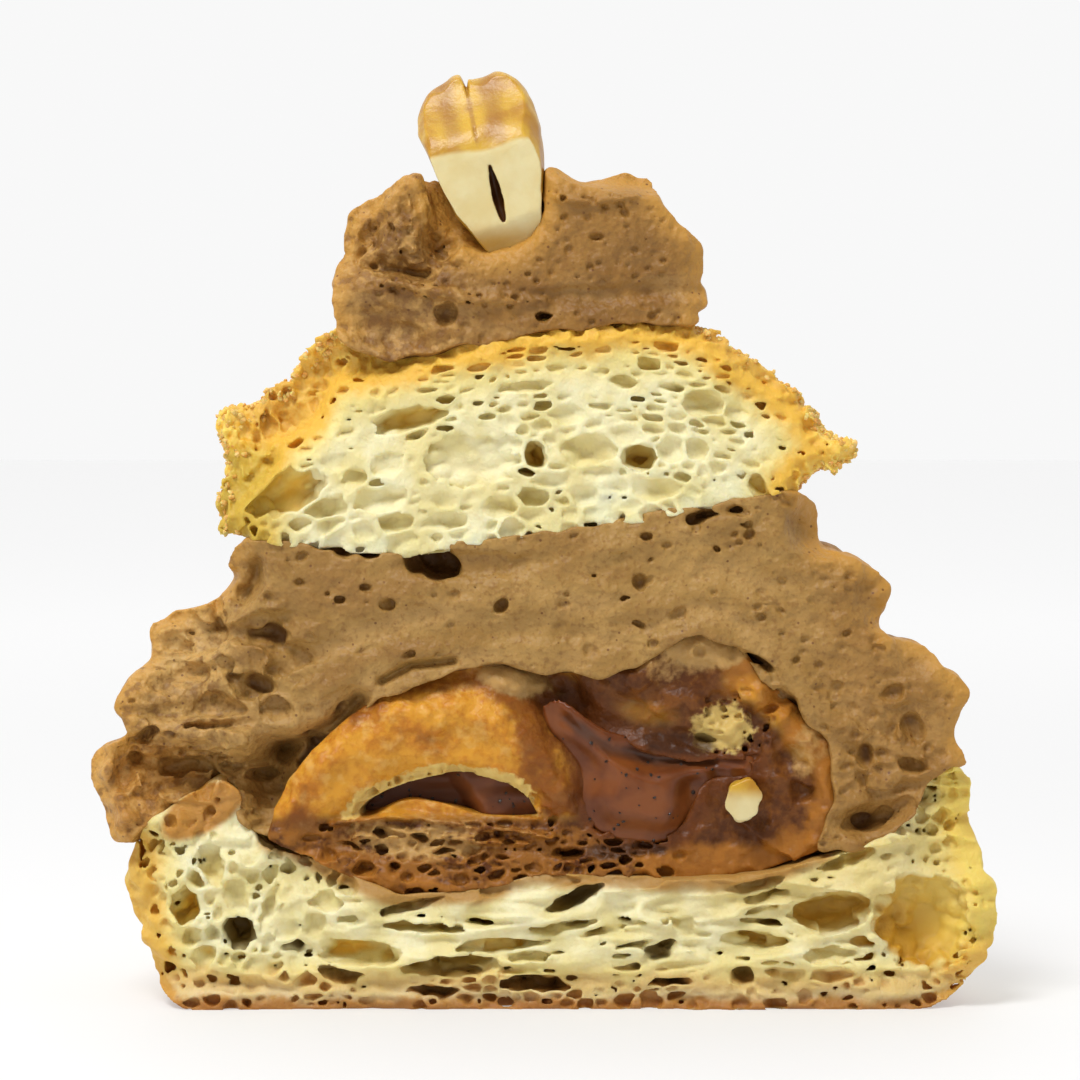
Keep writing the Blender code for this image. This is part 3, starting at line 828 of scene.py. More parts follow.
# %% The praline cream
def cream_bubble(x, z, depth, draw):
    """The shape of a random pore in the cream, or none: more of them towards the sides."""
    crowd = 0.06 + 0.6 * ramp(x + 0.25 * (z - 30), 14, 27)
    if depth > -0.3 or draw.random() > crowd:
        return None
    size = 0.22 + 0.45 * draw.random() ** 4
    return size * draw.uniform(1, 1.5), size * 1.3, size * draw.uniform(0.7, 1), draw.uniform(-30, 30)


def make_cream():
    block = block_round(["praline_cream"], FINE * 1.1)
    below = depth_below(block, outside)
    inside = ramp(below, 0.4, 1.4)
    skin = distance_to("praline_cream", block) - inside * (0.4 + 0.3 * lumps(block, 2.0, 30))
    choux = distance_to("small_choux", block, 9.0)
    outer = ramp(below, 1.6, 0.4)
    skin -= outer * (0.16 * lumps(block, 1.1, 31) + 0.3 * lumps(block, 3.2, 32) * ramp(abs(block.x), 8, 24))
    bubbles = scattered(block, skin, CREAM_GAPS, 9000, cream_bubble, 1.15, (-0.1, 0.4), 33)
    room = pores(block, bubbles)
    room += 0.12 * lumps(block, 0.9, 34) + 0.4 * ramp(room, -0.6, 0.1) * lumps(block, 1.6, 39)
    phase = choux * 1.2 + 2.2 * lumps(block, (12, 8, 6), 35)
    waves = 0.45 * np.sin(phase) * (0.5 + 0.5 * lumps(block, 7.0, 36))
    waves += 0.2 * lumps(block, (4.0, 3.0, 1.6), 28)
    torn = ramp(np.abs(block.x + 0.25 * (block.z - 30)), 20, 28) * 0.3 + spots(block.x, block.z, CREAM_TORN)
    rough = torn * np.abs(lumps(block, (2.6, 2.4, 1.5), 37)) * 1.3 + 0.14 * lumps(block, 1.0, 38)
    rough += 0.08 * lumps(block, 0.6, 29) + 0.35 * torn * np.abs(lumps(block, 1.0, 27))
    worn = spots(block.x, block.z, CREAM_WORN) + folds(block.x, block.z, CREAM_FOLDS)
    worn = worn + 0.8 * ramp(below, 1.6, 0.0)
    front = CUT + worn + waves + rough + 0.3 - block.y
    solid = np.maximum(np.maximum(skin, front), room)
    cream = food("praline_cream_piped", block, solid, MANY_FACES)
    points = places_of(cream)
    paint(cream, "below", read_field(block, below, points))
    paint(cream, "hollow", np.clip(read_field(block, -front, points), 0, 9))
    # Partly smears, partly painted light on a ridge and painted shade under the ridge above; they are
    # stored with the smear bands.
    smears_lit_and_shaded = folds(points[:, 0], points[:, 2], CREAM_SMEARS_LIT_AND_SHADED)
    paint(cream, "smear", read_field(block, waves / 0.45, points) + smears_lit_and_shaded)
    print(f"{len(bubbles)} pores and gaps in the cream")
    return cream


praline_cream = make_cream()

# %% [markdown]
# ## The rosette
#
# The small swirl on top is stiffer cream. It tore where the nut was pressed in, and its cut face is
# pricked with round pores.

# %% Gaps, folds and worn spots of the rosette
ROSETTE_GAPS = at_cut(
    (-8.6, 62.9, 1.15, 1.1, 0, 1.6),
    (0.2, 62.7, 0.95, 0.4, 0, 1.8),
    (-8.0, 70.0, 1.2, 2.4, -30, 3.2),
    (-13.8, 67.6, 1.3, 0.6, 20, 1.2),
    (-10.0, 66.6, 1.0, 0.6, 20, 1.2),
    (4.9, 69.8, 0.8, 0.35, -10, 0.9),
    (1.0, 66.6, 0.45, 0.35, 0, 0.8),
)
ROSETTE_WORN = (
    (-16.5, 71.0, 2.4, 6.0, -20, 2.2),
    (-8.6, 70.6, 1.6, 3.6, -24, 2.6),
    (9.0, 75.6, 7.0, 1.7, -4, 3.2),
    (14.6, 67.0, 1.4, 4.0, 0, 0.8),
    (-14.0, 61.5, 4.0, 2.0, -20, 1.4),
    (6.0, 64.6, 10.0, 1.0, 4, 0.7),
)
ROSETTE_SWOLLEN = (
    (8.6, 75.0, 2.2, 1.2, 10, 0.9),
    (-12.5, 72.4, 2.6, 2.0, 40, 0.6),
    (-15.4, 71.2, 2.6, 3.4, -30, 0.9),
    (0.6, 74.6, 1.6, 1.4, 0, 0.7),
)
ROSETTE_FOLDS = (
    (((-13.5, 66.0), (-9.5, 64.9), (-5.8, 64.1), (0.1, 64.1)), 0.6, -1.0),
    (((1.5, 73.3), (4.8, 72.9), (8.4, 73.6)), 0.45, -0.7),
    (((-14.8, 67.2), (-10.4, 66.4)), 0.7, 1.6),
    (((-13.4, 72.2), (-11.8, 70.0), (-11.0, 68.0)), 0.8, -1.0),
)
print(len(ROSETTE_GAPS), "gaps and", len(ROSETTE_WORN), "worn spots of the rosette")

# %% [markdown]
# The cream closes round the foot of the nut, so the skin of the rosette is joined with the skin of
# the nut, a little larger.

# %% The rosette
def rosette_bubble(x, z, depth, draw):
    """The shape of a random pore in the rosette, or none."""
    if depth > -0.3:
        return None
    size = 0.2 + 0.3 * draw.random() ** 2
    return size * draw.uniform(1, 1.3), size * 1.3, size, draw.uniform(-30, 30)


def make_rosette():
    block = block_round(["rosette"], FINE)
    below = depth_below(block, outside)
    inside = ramp(below, 0.4, 1.4)
    skin = distance_to("rosette", block) - inside * (0.3 + 0.3 * lumps(block, 2.0, 40))
    kernel = distance_to("nut", block)
    skin = np.minimum(skin, kernel + 0.4 + 3.0 * ramp(block.z, 70.5, 72.5))
    skin -= spots(block.x, block.z, ROSETTE_SWOLLEN)
    skin -= 0.8 * ramp(distance_to("lid", block), 1.4, 0.2)
    skin -= ramp(below, 1.5, 0.4) * (0.14 * lumps(block, 1.0, 41) + 0.22 * lumps(block, 2.6, 42))
    bubbles = scattered(block, skin, ROSETTE_GAPS, 5000, rosette_bubble, 1.3, (-0.1, 0.3), 43)
    room = pores(block, bubbles) + 0.14 * lumps(block, 0.9, 44)
    rough = ramp(block.x, -3, -9) * ramp(block.z, 65.5, 68.0) * ramp(below, 0.8, 2.4)
    torn = rough * 1.2 * np.abs(lumps(block, (1.5, 1.3, 1.1), 45)) + 0.1 * lumps(block, 1.1, 46)
    torn += rough * 0.9 * np.abs(lumps(block, 0.8, 49))
    torn += 0.14 * lumps(block, 0.7, 48)
    smeared = 0.22 * lumps(block, (5.0, 3.0, 1.2), 47) * ramp(block.z, 69.0, 65.0)
    worn = spots(block.x, block.z, ROSETTE_WORN) + folds(block.x, block.z, ROSETTE_FOLDS)
    worn = worn + 0.8 * ramp(below, 1.4, 0.0) + 2.0 * ramp(kernel, 0.2, -0.4)
    front = CUT + worn + torn + smeared + 0.3 - block.y
    solid = np.maximum(np.maximum(skin, front), room)
    rosette = food("rosette_piped", block, solid, 120000)
    points = places_of(rosette)
    paint(rosette, "below", read_field(block, below, points))
    paint(rosette, "hollow", np.clip(read_field(block, -front, points), 0, 9))
    paint(rosette, "smear", read_field(block, smeared / 0.22, points))
    print(f"{len(bubbles)} pores and gaps in the rosette")
    return rosette


rosette = make_rosette()

# %% [markdown]
# ## The small choux and its caramel
#
# The choux inside was filled, browned and soft. Its roof shows as a band of orange crust with a torn
# pale edge, over a hollow where caramel ran out. Its floor is brown crumb full of small holes.

# %% Arch and run of caramel
ARCH = (-8.4, 16.0)  # middle of the roof's bow, at its foot
ARCH_INNER = (8.8, 5.3)
ARCH_OUTER = (16.6, 14.6)
TONGUE = (  # the run of caramel, as (path, half width)
    (((0.6, 29.4), (3.0, 26.2)), 0.6),
    (((3.0, 26.2), (7.2, 21.6)), 1.6),
    (((7.6, 19.2), (10.4, 18.9)), 3.4),
    (((11.0, 20.8), (15.5, 21.8), (18.4, 21.8)), 0.7),
)
print(f"the roof is {ARCH_OUTER[1] - ARCH_INNER[1]:.1f} mm thick at its top")

# %% [markdown]
# Nearly every colour of the choux has its own place: smears of cream, golden crust, painted shade
# in dark slits and gaps, tan rims and rusty stains. They are written down as spots or as lines on the cut.

# %% Colours on the cut of the small choux
CHOUX_CREAMY = (
    (14.4, 33.4, 4.2, 2.0, -14, 2.4),
    (11.4, 31.0, 3.6, 1.8, -10, 0.5),
    (24.4, 23.6, 1.8, 3.2, -20, 0.7),
    (-2.6, 29.9, 3.6, 1.5, -14, 1.1),
    (-9.0, 16.6, 10.5, 1.3, -2, 0.4),
    (-11.5, 14.9, 7.0, 1.5, -4, 0.8),
)
CHOUX_GOLDEN = (
    (21.0, 27.4, 2.6, 1.3, -50, 0.7),
    (18.2, 29.4, 1.8, 1.4, -30, 0.8),
    (9.6, 26.8, 2.8, 1.1, -10, 0.35),
    (23.4, 23.6, 2.2, 0.9, -50, 0.6),
)
# Painted shade: dark slits and shadowed gaps on the cut, darkened in colour.
CHOUX_SHADE_SPOTS = (
    (3.4, 28.6, 3.6, 1.6, -30, 0.3),
    (12.5, 24.0, 4.6, 1.0, -10, 1.0),
    (7.0, 14.3, 6.0, 0.8, 2, 0.8),
)
CHOUX_TAN = (
    (((16.8, 33.0), (18.6, 31.2), (21.0, 28.2), (22.9, 26.3), (25.9, 23.4), (26.0, 18.0)), 2.2, 1.1),
    (((10.5, 12.4), (16.0, 12.4), (24.0, 13.4)), 2.4, 1.5),
    (((-23.0, 15.2), (-17.5, 12.0), (-8.0, 11.0)), 0.8, 0.9),
)
CHOUX_RUSTY = (
    (((-2.0, 28.6), (0.6, 25.0), (1.6, 19.5)), 2.6, 1.3),
    (((-17.0, 27.4), (-9.0, 30.0), (-1.0, 30.2)), 1.2, 0.9),
    (((-25.4, 15.0), (-22.0, 17.4)), 1.6, 0.7),
)
print(len(CHOUX_TAN) + len(CHOUX_RUSTY), "coloured lines on the small choux")

# %% [markdown]
# Its relief is written down in the same way: where the knife took crumb away, the folds that run
# along the roof, the bulge and the layers of the floor, and the holes that stand out.

# %% Relief on the cut of the small choux
CHOUX_WORN = (
    (7.4, 26.6, 4.2, 1.9, -14, 1.0),
    (14.6, 24.2, 3.6, 0.9, -10, 1.0),
    (-2.8, 29.9, 3.2, 1.1, -14, -1.0),
)
CHOUX_FOLDS = (
    (((-24, 17), (-20, 21.4), (-14, 25.4), (-8.5, 26.4), (-4, 25.6), (-0.8, 23), (1.4, 20)), 3.0, -1.6),
    (
        ((8.5, 30), (12, 32.6), (15.5, 32.8), (18.5, 30), (21, 27), (25, 23.5), (26, 19), (25, 15.5)),
        1.3,
        -1.1,
    ),
    (((6.0, 27.8), (9.5, 26.6), (13.5, 27.8)), 1.1, -0.7),
    (((17.0, 23.4), (20.5, 22.4), (22.2, 18.6), (20.6, 15.6)), 1.0, -0.8),
    (((-19, 16.8), (-14, 17.5), (-8, 16.9), (-3, 16.3), (1, 15.6)), 0.3, -1.1),
    (((-17, 15.6), (-11, 16.0), (-5, 15.2), (-1, 14.9)), 0.3, -0.9),
    (((-20, 14.0), (-12, 11.6), (-4, 10.9), (4, 11.8)), 0.6, -0.5),
)
CHOUX_HOLES = at_cut(
    (-8.6, 14.4, 1.2, 0.45, 4, 2.2),
    (-16.0, 12.9, 1.2, 0.7, 0, 1.8),
    (-13.4, 12.9, 0.5, 0.6, 0, 1.6),
    (-17.6, 14.8, 1.2, 0.4, -12, 1.8),
    (-5.6, 13.6, 0.8, 0.35, 20, 1.8),
    (2.6, 14.2, 2.2, 0.5, 4, 2.4),
    (-4.0, 12.3, 1.2, 0.4, 12, 1.6),
    (12.6, 13.8, 0.7, 0.5, 0, 1.4),
    (-14.2, 15.9, 1.7, 0.45, -4, 2.4),
    (-11.0, 15.6, 0.9, 0.45, -20, 2.2),
    (17.6, 27.4, 1.3, 0.8, -20, 1.4),
    (17.0, 26.0, 0.8, 0.6, 10, 1.2),
    (14.6, 25.0, 0.7, 0.6, 0, 1.0),
    (14.4, 32.4, 0.5, 0.6, 0, 0.9),
)
print(len(CHOUX_HOLES), "holes of the small choux are known from the cut")

# %% [markdown]
# Three shapes on the cut settle where the choux ends and the caramel begins: the bow of the roof, the
# tongue of caramel, and the cave under the roof. The exponential sum in `tongue` lets its parts flow
# together as a thick liquid does, instead of meeting in a crease.

# %% Bow, tongue and cave
def bow(x, z, sizes):
    """0 in the middle of the arch and 1 at an arch of these sizes."""
    return np.hypot((x - ARCH[0]) / sizes[0], (z - ARCH[1]) / sizes[1])


def tongue(x, z):
    """Distance to the edge of the run of caramel, below zero on it. Its parts flow together."""
    return -np.log(sum(np.exp(half - off_path(x, z, path)) for path, half in TONGUE))


def cave(x, z):
    """Distance to the edge of the hollow under the roof, below zero in it."""
    floor = 17.3 + 1.3 * np.exp(-(((x + 10.5) / 3.8) ** 2))
    return np.maximum((bow(x, z, ARCH_INNER) - 1) * ARCH_INNER[1], floor - z)


print(f"the middle of the cave is {-cave(ARCH[0], 19.0):.1f} mm from its edge")

# %% [markdown]
# The shell of the choux is its skin without the filling behind it. The arch bulges towards us, and
# its lower edge is torn into tatters where the filling broke out. The floor and a patch at the right
# show crumb, and only there are holes thrown.

# %% The small choux
def choux_bubble(x, z, depth, draw):
    """The shape of a random hole in the choux's floor or in its right-hand crumb, or none."""
    in_floor = z < 16.6 and -21 < x < 11
    in_crumb = math.hypot(x - 17.5, z - 25.8) < 3.4
    if depth > -0.15 or not (in_floor or in_crumb):
        return None
    size = draw.uniform(0.2, 0.5) if in_crumb else draw.uniform(0.25, 0.75)
    return size * draw.uniform(1, 1.6), size, size * draw.uniform(0.5, 0.9), draw.uniform(-15, 25)


def make_small_choux():
    block = block_round(["small_choux"], FINE)
    skin = distance_to("small_choux", block) - 0.3
    filling = distance_to("caramel", block)
    ragged = lumps(block, 3.0, 57)
    seen = np.minimum(tongue(block.x, block.z), cave(block.x, block.z)) + 0.25 * ragged
    filling = np.maximum(filling, seen)
    inner, outer = (bow(block.x, block.z, sizes) for sizes in (ARCH_INNER, ARCH_OUTER))
    on_arch = ramp(inner, 0.9, 1.05) * ramp(block.x, 5.0, 1.5) * ramp(block.z, 15.5, 18.0)
    skin -= 0.12 * lumps(block, 1.3, 51)
    crumb = np.maximum(skin, -filling)
    bubbles = scattered(block, crumb, CHOUX_HOLES, 6000, choux_bubble, 0.85, (0.6, 3.0), 52, 1.9)
    room = foam(block, bubbles, 0.22 + 0.1 * lumps(block, 2.0, 53), 0.2)
    rounded = on_arch * (1.2 * ramp(outer, 0.8, 1.02) + 0.5 * ramp(inner, 1.12, 0.98))
    right_crust = ramp(block.x, 4.0, 8.0) * ramp(block.z, 22.0, 24.0)
    worn = spots(block.x, block.z, CHOUX_WORN) + folds(block.x, block.z, CHOUX_FOLDS) + 1.5
    worn = worn + 0.7 * ramp(block.x, 16.0, 19.0) * np.abs(lumps(block, (2.4, 2.4, 2.0), 58))
    worn -= 0.9 * ramp(block.z, 14.8, 13.2) * ramp(block.x, 14.0, 8.0)
    worn += 0.9 * spots(block.x, block.z, ((-10.0, 18.4, 6.0, 1.6, -4, 1.0),))
    beside = np.exp(-((np.maximum(tongue(block.x, block.z), 0) / 1.6) ** 2))
    worn += 1.2 * beside * ramp(block.x, 6.0, 3.0)
    rough = (0.22 + 0.2 * right_crust) * lumps(block, 1.9, 54) + 0.16 * lumps(block, 0.8, 55)
    rough += 0.4 * on_arch * lumps(block, (4.5, 3.0, 2.4), 59)
    tatters = ramp(inner, 1.22, 1.02) * on_arch * 1.2 * np.abs(lumps(block, (0.9, 1.2, 1.4), 56))
    front = CUT + worn + rounded + rough + tatters + 0.2 - block.y
    solid = np.maximum(np.maximum(skin, front), np.maximum(room, -filling - 0.05))
    choux = food("small_choux_baked", block, solid, 130000)
    points = places_of(choux)
    across, height = points[:, 0], points[:, 2]
    rise = bow(across, height, ARCH_INNER) + 0.07 * read_field(block, ragged, points)
    paint(choux, "hollow", np.clip(read_field(block, -front, points), 0, 9))
    edge = ramp(rise, 1.27, 1.06) * ramp(rise, 0.84, 0.96)
    paint(choux, "torn", edge * ramp(across, 1.0, -2.0) * ramp(height, 16.6, 17.6))
    paint(choux, "rusty", folds(across, height, CHOUX_RUSTY))
    paint(choux, "stained", np.exp(-((np.maximum(tongue(across, height), 0) / 1.7) ** 2)))
    paint(choux, "creamy", spots(across, height, CHOUX_CREAMY))
    # Painted shade: marks the listed dark slits and gaps.
    paint(choux, "dark", spots(across, height, CHOUX_SHADE_SPOTS))
    paint(choux, "tan", folds(across, height, CHOUX_TAN))
    paint(choux, "floor", ramp(height, 17.4, 15.6) * ramp(across, 12.0, 8.0))
    patches = spots(across, height, CHOUX_GOLDEN)
    paint(choux, "golden", np.maximum(ramp(across, 4.0, 2.0) * ramp(height, 16.6, 18.0), patches))
    paint(choux, "crumb", ramp(np.hypot(across - 16.6, 1.2 * (height - 25.2)), 4.2, 1.2))
    print(f"{len(bubbles)} holes in the small choux")
    return choux


small_choux = make_small_choux()

# %% [markdown]
# The caramel is one thick, shining body. It bulges where it ran down in a tongue, and sank back
# under the roof of the choux.

# %% The caramel
TONGUE_FOLDS = (
    (((2.4, 26.2), (6.4, 23.4), (10.5, 22.4), (15.5, 22.6)), 0.7, 0.8),
    (((13.6, 20.2), (13.2, 16.6)), 1.0, 0.6),
    (((3.0, 27.4), (6.6, 22.4), (9.5, 19.6)), 1.2, -0.5),
    (((16.2, 18.6), (16.0, 21.4)), 0.7, 0.5),
)


def make_caramel():
    block = block_round(["caramel"], FINE)
    skin = distance_to("caramel", block) - 0.1
    on_tongue, in_cave = tongue(block.x, block.z), cave(block.x, block.z)
    bulge = 0.1 + 1.5 * ramp(on_tongue, -2.6, 0.4) + 3.0 * ramp(on_tongue, 0.3, 1.6)
    bulge = bulge + folds(block.x, block.z, TONGUE_FOLDS)
    sunk = 2.6 + 3.0 * ramp(block.x + 0.6 * block.z, 6.0, 2.6) + 1.5 * ramp(in_cave, 0.3, 1.2)
    soft = 0.2 * lumps(block, (4.2, 3.0, 2.6), 61)
    soft += 0.25 * ramp(on_tongue, 0, 1) * lumps(block, (4.0, 3.0, 1.1), 62)
    front = CUT + np.maximum(np.minimum(bulge, sunk) + soft, 0) + 0.2 - block.y
    solid = np.maximum(skin, front)
    caramel = food("caramel_filling", block, solid, 40000)
    points = places_of(caramel)
    # hollow steers painted shade: the caramel is darkened further behind the cut.
    paint(caramel, "hollow", np.clip(points[:, 1] - CUT, 0, 9))
    # Painted shadow: marks a band along the groove on top of the tongue, under the right crust.
    paint(caramel, "dark", folds(points[:, 0], points[:, 2], TONGUE_FOLDS[:1]))
    paint(caramel, "open", ramp(read_field(block, np.abs(front), points), 0.3, 0.1))
    return caramel


caramel = make_caramel()


# %% [markdown]
# The chip of nut in the caramel is a small lump with soft corners.

# %% The chip of nut
def make_nut_piece():
    block = block_round(["nut_piece"], 0.14, margin=1.0)
    skin = distance_to("nut_piece", block) - 0.35
    skin -= 0.25 * lumps(block, 1.3, 65) + 0.08 * lumps(block, 0.6, 66)
    chip = food("nut_chip", block, skin, 6000)
    paint(chip, "cut", ramp(places_of(chip)[:, 2], 20.4, 18.8))
    return chip


nut_chip = make_nut_piece()

# %% [markdown]
# ## The nut
#
# The kernel is two halves with a seam between them, and roasting shrank each half along its middle.
# The knife left a flat cream-coloured face with the slit between the halves.

# %% The nut
NUT_FLATS = (  # the knife's flat sides, as a point (across, height) and the way they face, in degrees
    (-7.7, 71.8, 205),
    (-6.0, 69.7, 219),
    (-3.8, 68.4, 292),
    (-1.2, 69.6, 300),
)


def make_nut():
    block = block_round(["nut"], 0.13)
    skin = distance_to("nut", block)
    middle = -4.9 - (block.z - 74.0) * 0.2
    aside = np.abs(block.x - middle)
    upper = ramp(block.z, 77.0, 79.0)
    seam = 0.8 * np.exp(-((aside / 0.2) ** 2)) + 0.55 * np.exp(-(((aside - 2.0) / 1.1) ** 2))
    skin += upper * seam + 0.09 * lumps(block, 2.0, 71) + 0.03 * lumps(block, 0.8, 73)
    skin -= 0.5 * ramp(block.z, 73.0, 70.0)
    for x, z, facing in NUT_FLATS:
        turned = math.radians(facing)
        side = (block.x - x) * math.cos(turned) + (block.z - z) * math.sin(turned)
        skin = np.maximum(skin, side + 0.1 * lumps(block, 2.5, 74))
    slit = ((block.x + 4.0 + 0.24 * (block.z - 73.8)) / 0.48) ** 2 + (np.abs(block.z - 73.6) / 2.6) ** 1.4
    slit = (1 - np.sqrt(slit)) * 0.5 - np.maximum(0, block.y - CUT - 2.4) + 0.05 * lumps(block, 0.8, 75)
    top = 77.6 + 0.22 * (block.x + 5) + 0.25 * lumps(block, 2.5, 76)
    rounded = 4.4 * ramp(block.z - top, -0.4, 7.6) + 1.2 * ramp(block.z - 0.35 * (block.x + 4), 71.2, 68.6)
    front = CUT + 0.3 + rounded + 0.05 * lumps(block, 2.0, 72) - block.y
    solid = np.maximum(np.maximum(skin, front), slit)
    nut = food("nut_roasted", block, solid, 40000)
    points = places_of(nut)
    flat = ramp(read_field(block, np.abs(front), points), 0.2, 0.08)
    paint(nut, "cut", flat * ramp(read_field(block, block.z - top, points), 0.5, 0.0))
    paint(nut, "low", ramp(points[:, 2], 71.5, 69.0))
    # deep steers painted shade: the slit between the halves is painted dark.
    in_slit = ramp(read_field(block, slit, points), -0.25, -0.05) * ramp(points[:, 1] - CUT, 0.5, 1.2)
    paint(nut, "deep", in_slit * ramp(np.abs(points[:, 2] - 73.6), 3.0, 2.6))
    # seam steers painted shade: darker in the groove of the seam and in the hollows beside it.
    paint(nut, "seam", read_field(block, upper * seam, points))
    return nut


nut = make_nut()

# %% [markdown]
# ## Finishes
#
# A finish is a small program that a shader runs at each point. Written as nodes it is hard to read,
# so here a socket is wrapped in a class whose + - and * add the Math nodes.

# %% A value in a shader
class Value:
    """A number or colour that a shader works out at each point."""

    def __init__(self, finish, socket):
        self.finish = finish
        self.socket = socket

    def __add__(self, other):
        return self.finish.maths("ADD", self, other)

    def __sub__(self, other):
        return self.finish.maths("SUBTRACT", self, other)

    def __mul__(self, other):
        return self.finish.maths("MULTIPLY", self, other)

    def __rsub__(self, other):
        return self.finish.maths("SUBTRACT", other, self)

    __radd__ = __add__
    __rmul__ = __mul__

    def between(self, low, high):
        """0 up to low and 1 from high on, smooth in between. low may be the larger."""
        sockets = {"Value": self, "From Min": low, "From Max": high}
        return self.finish.node("ShaderNodeMapRange", {"interpolation_type": "SMOOTHSTEP"}, sockets)


print("values can be added, taken off each other, multiplied, and set between two limits")

# %% [markdown]
# A finish is one material. Every node in it comes from one method, and the patterns that food needs
# are short methods on top of it: soft noise, scattered cells, painted numbers and mixed colours.

# %% A finish
class Finish:
    """A material for one food."""

    def __init__(self, name, constants):
        self.material = bpy.data.materials.new(name)
        self.material.use_nodes = True
        self.tree = self.material.node_tree
        self.shader = self.tree.nodes["Principled BSDF"]
        for socket, value in constants.items():
            self.shader.inputs[socket].default_value = value
        self.here = self.node("ShaderNodeTexCoord", {}, {}, "Object")

    def node(self, kind, settings, sockets, out=0):
        """Adds a node: its settings first, then its sockets as values or links."""
        node = self.tree.nodes.new(kind)
        for name, value in settings.items():
            setattr(node, name, value)
        for name, value in sockets.items():
            self.feed(node.inputs[name], value)
        return Value(self, node.outputs[out])

    def feed(self, socket, value):
        if isinstance(value, Value):
            self.tree.links.new(value.socket, socket)
        else:
            socket.default_value = value

    def maths(self, operation, first, second):
        return self.node("ShaderNodeMath", {"operation": operation}, {0: first, 1: second})

    def painted(self, name):
        """A number that was stored at the points of the piece."""
        return self.node("ShaderNodeAttribute", {"attribute_name": name}, {}, "Fac")

    def moved(self, shift):
        """The place, moved, so that two patterns don't fall on each other."""
        return self.node("ShaderNodeVectorMath", {"operation": "ADD"}, {0: self.here, 1: (shift,) * 3})

    def noise(self, size, detail=2.0, shift=0.0):
        """Soft random values round 0.5, with spots of that size in mm."""
        sockets = {"Vector": self.moved(shift), "Scale": 1 / (size * MM), "Detail": detail}
        return self.node("ShaderNodeTexNoise", {}, sockets)

    def cells(self, size, shift=0.0):
        """Distance to the nearest of many scattered points, in shares of that size in mm."""
        sockets = {"Vector": self.moved(shift), "Scale": 1 / (size * MM)}
        return self.node("ShaderNodeTexVoronoi", {}, sockets, "Distance")

    def mix(self, share, first, second):
        """From the first colour to the second."""
        return self.node(
            "ShaderNodeMix", {"data_type": "RGBA"}, {"Factor": share, 6: first, 7: second}, 2
        )

    def along(self, which):
        """The place along one axis, in mm."""
        split = self.node("ShaderNodeSeparateXYZ", {}, {"Vector": self.here}, which)
        return split * (1 / MM)

    def finished(self, colour, roughness, relief, depth):
        """Joins the colour, the roughness and a relief of that depth in mm to the shader."""
        sockets = {"Height": relief, "Distance": depth * MM, "Strength": 1.0}
        bump = self.node("ShaderNodeBump", {}, sockets, "Normal")
        self.feed(self.shader.inputs["Base Color"], colour)
        self.feed(self.shader.inputs["Roughness"], roughness)
        self.feed(self.shader.inputs["Normal"], bump)
        return self.material


print(f"patterns are sized in mm, and {1 / MM:.0f} mm make a metre")

# %% [markdown]
# Colours are chosen as a screen shows them, because that is how one sees them. A shader reckons with
# the light itself, which grows faster than those numbers, so each colour is converted once.

# %% Colours
def colour(red, green, blue):
    """A colour as a screen shows it, from 0 to 255, in a shader's linear numbers."""
    shares = [c / 255 for c in (red, green, blue)]
    return (*[((c + 0.055) / 1.055) ** 2.4 if c > 0.04 else c / 12.92 for c in shares], 1.0)


print("middle grey on a screen is", f"{colour(128, 128, 128)[0]:.2f} of the light")

# %% [markdown]
# Crumb lets light in: it glows in its thin walls. Its hollows are painted darker and gold, as shade
# and bounced light, and bright gold near the crust, as light through thin walls. The lid and the lower
# bun share one recipe, with the crust's colours as its ingredients.

# %% Crumb and crust
GLOW = {"Subsurface Weight": 0.35, "Subsurface Radius": (1.0, 0.75, 0.4), "Subsurface Scale": 0.0012}


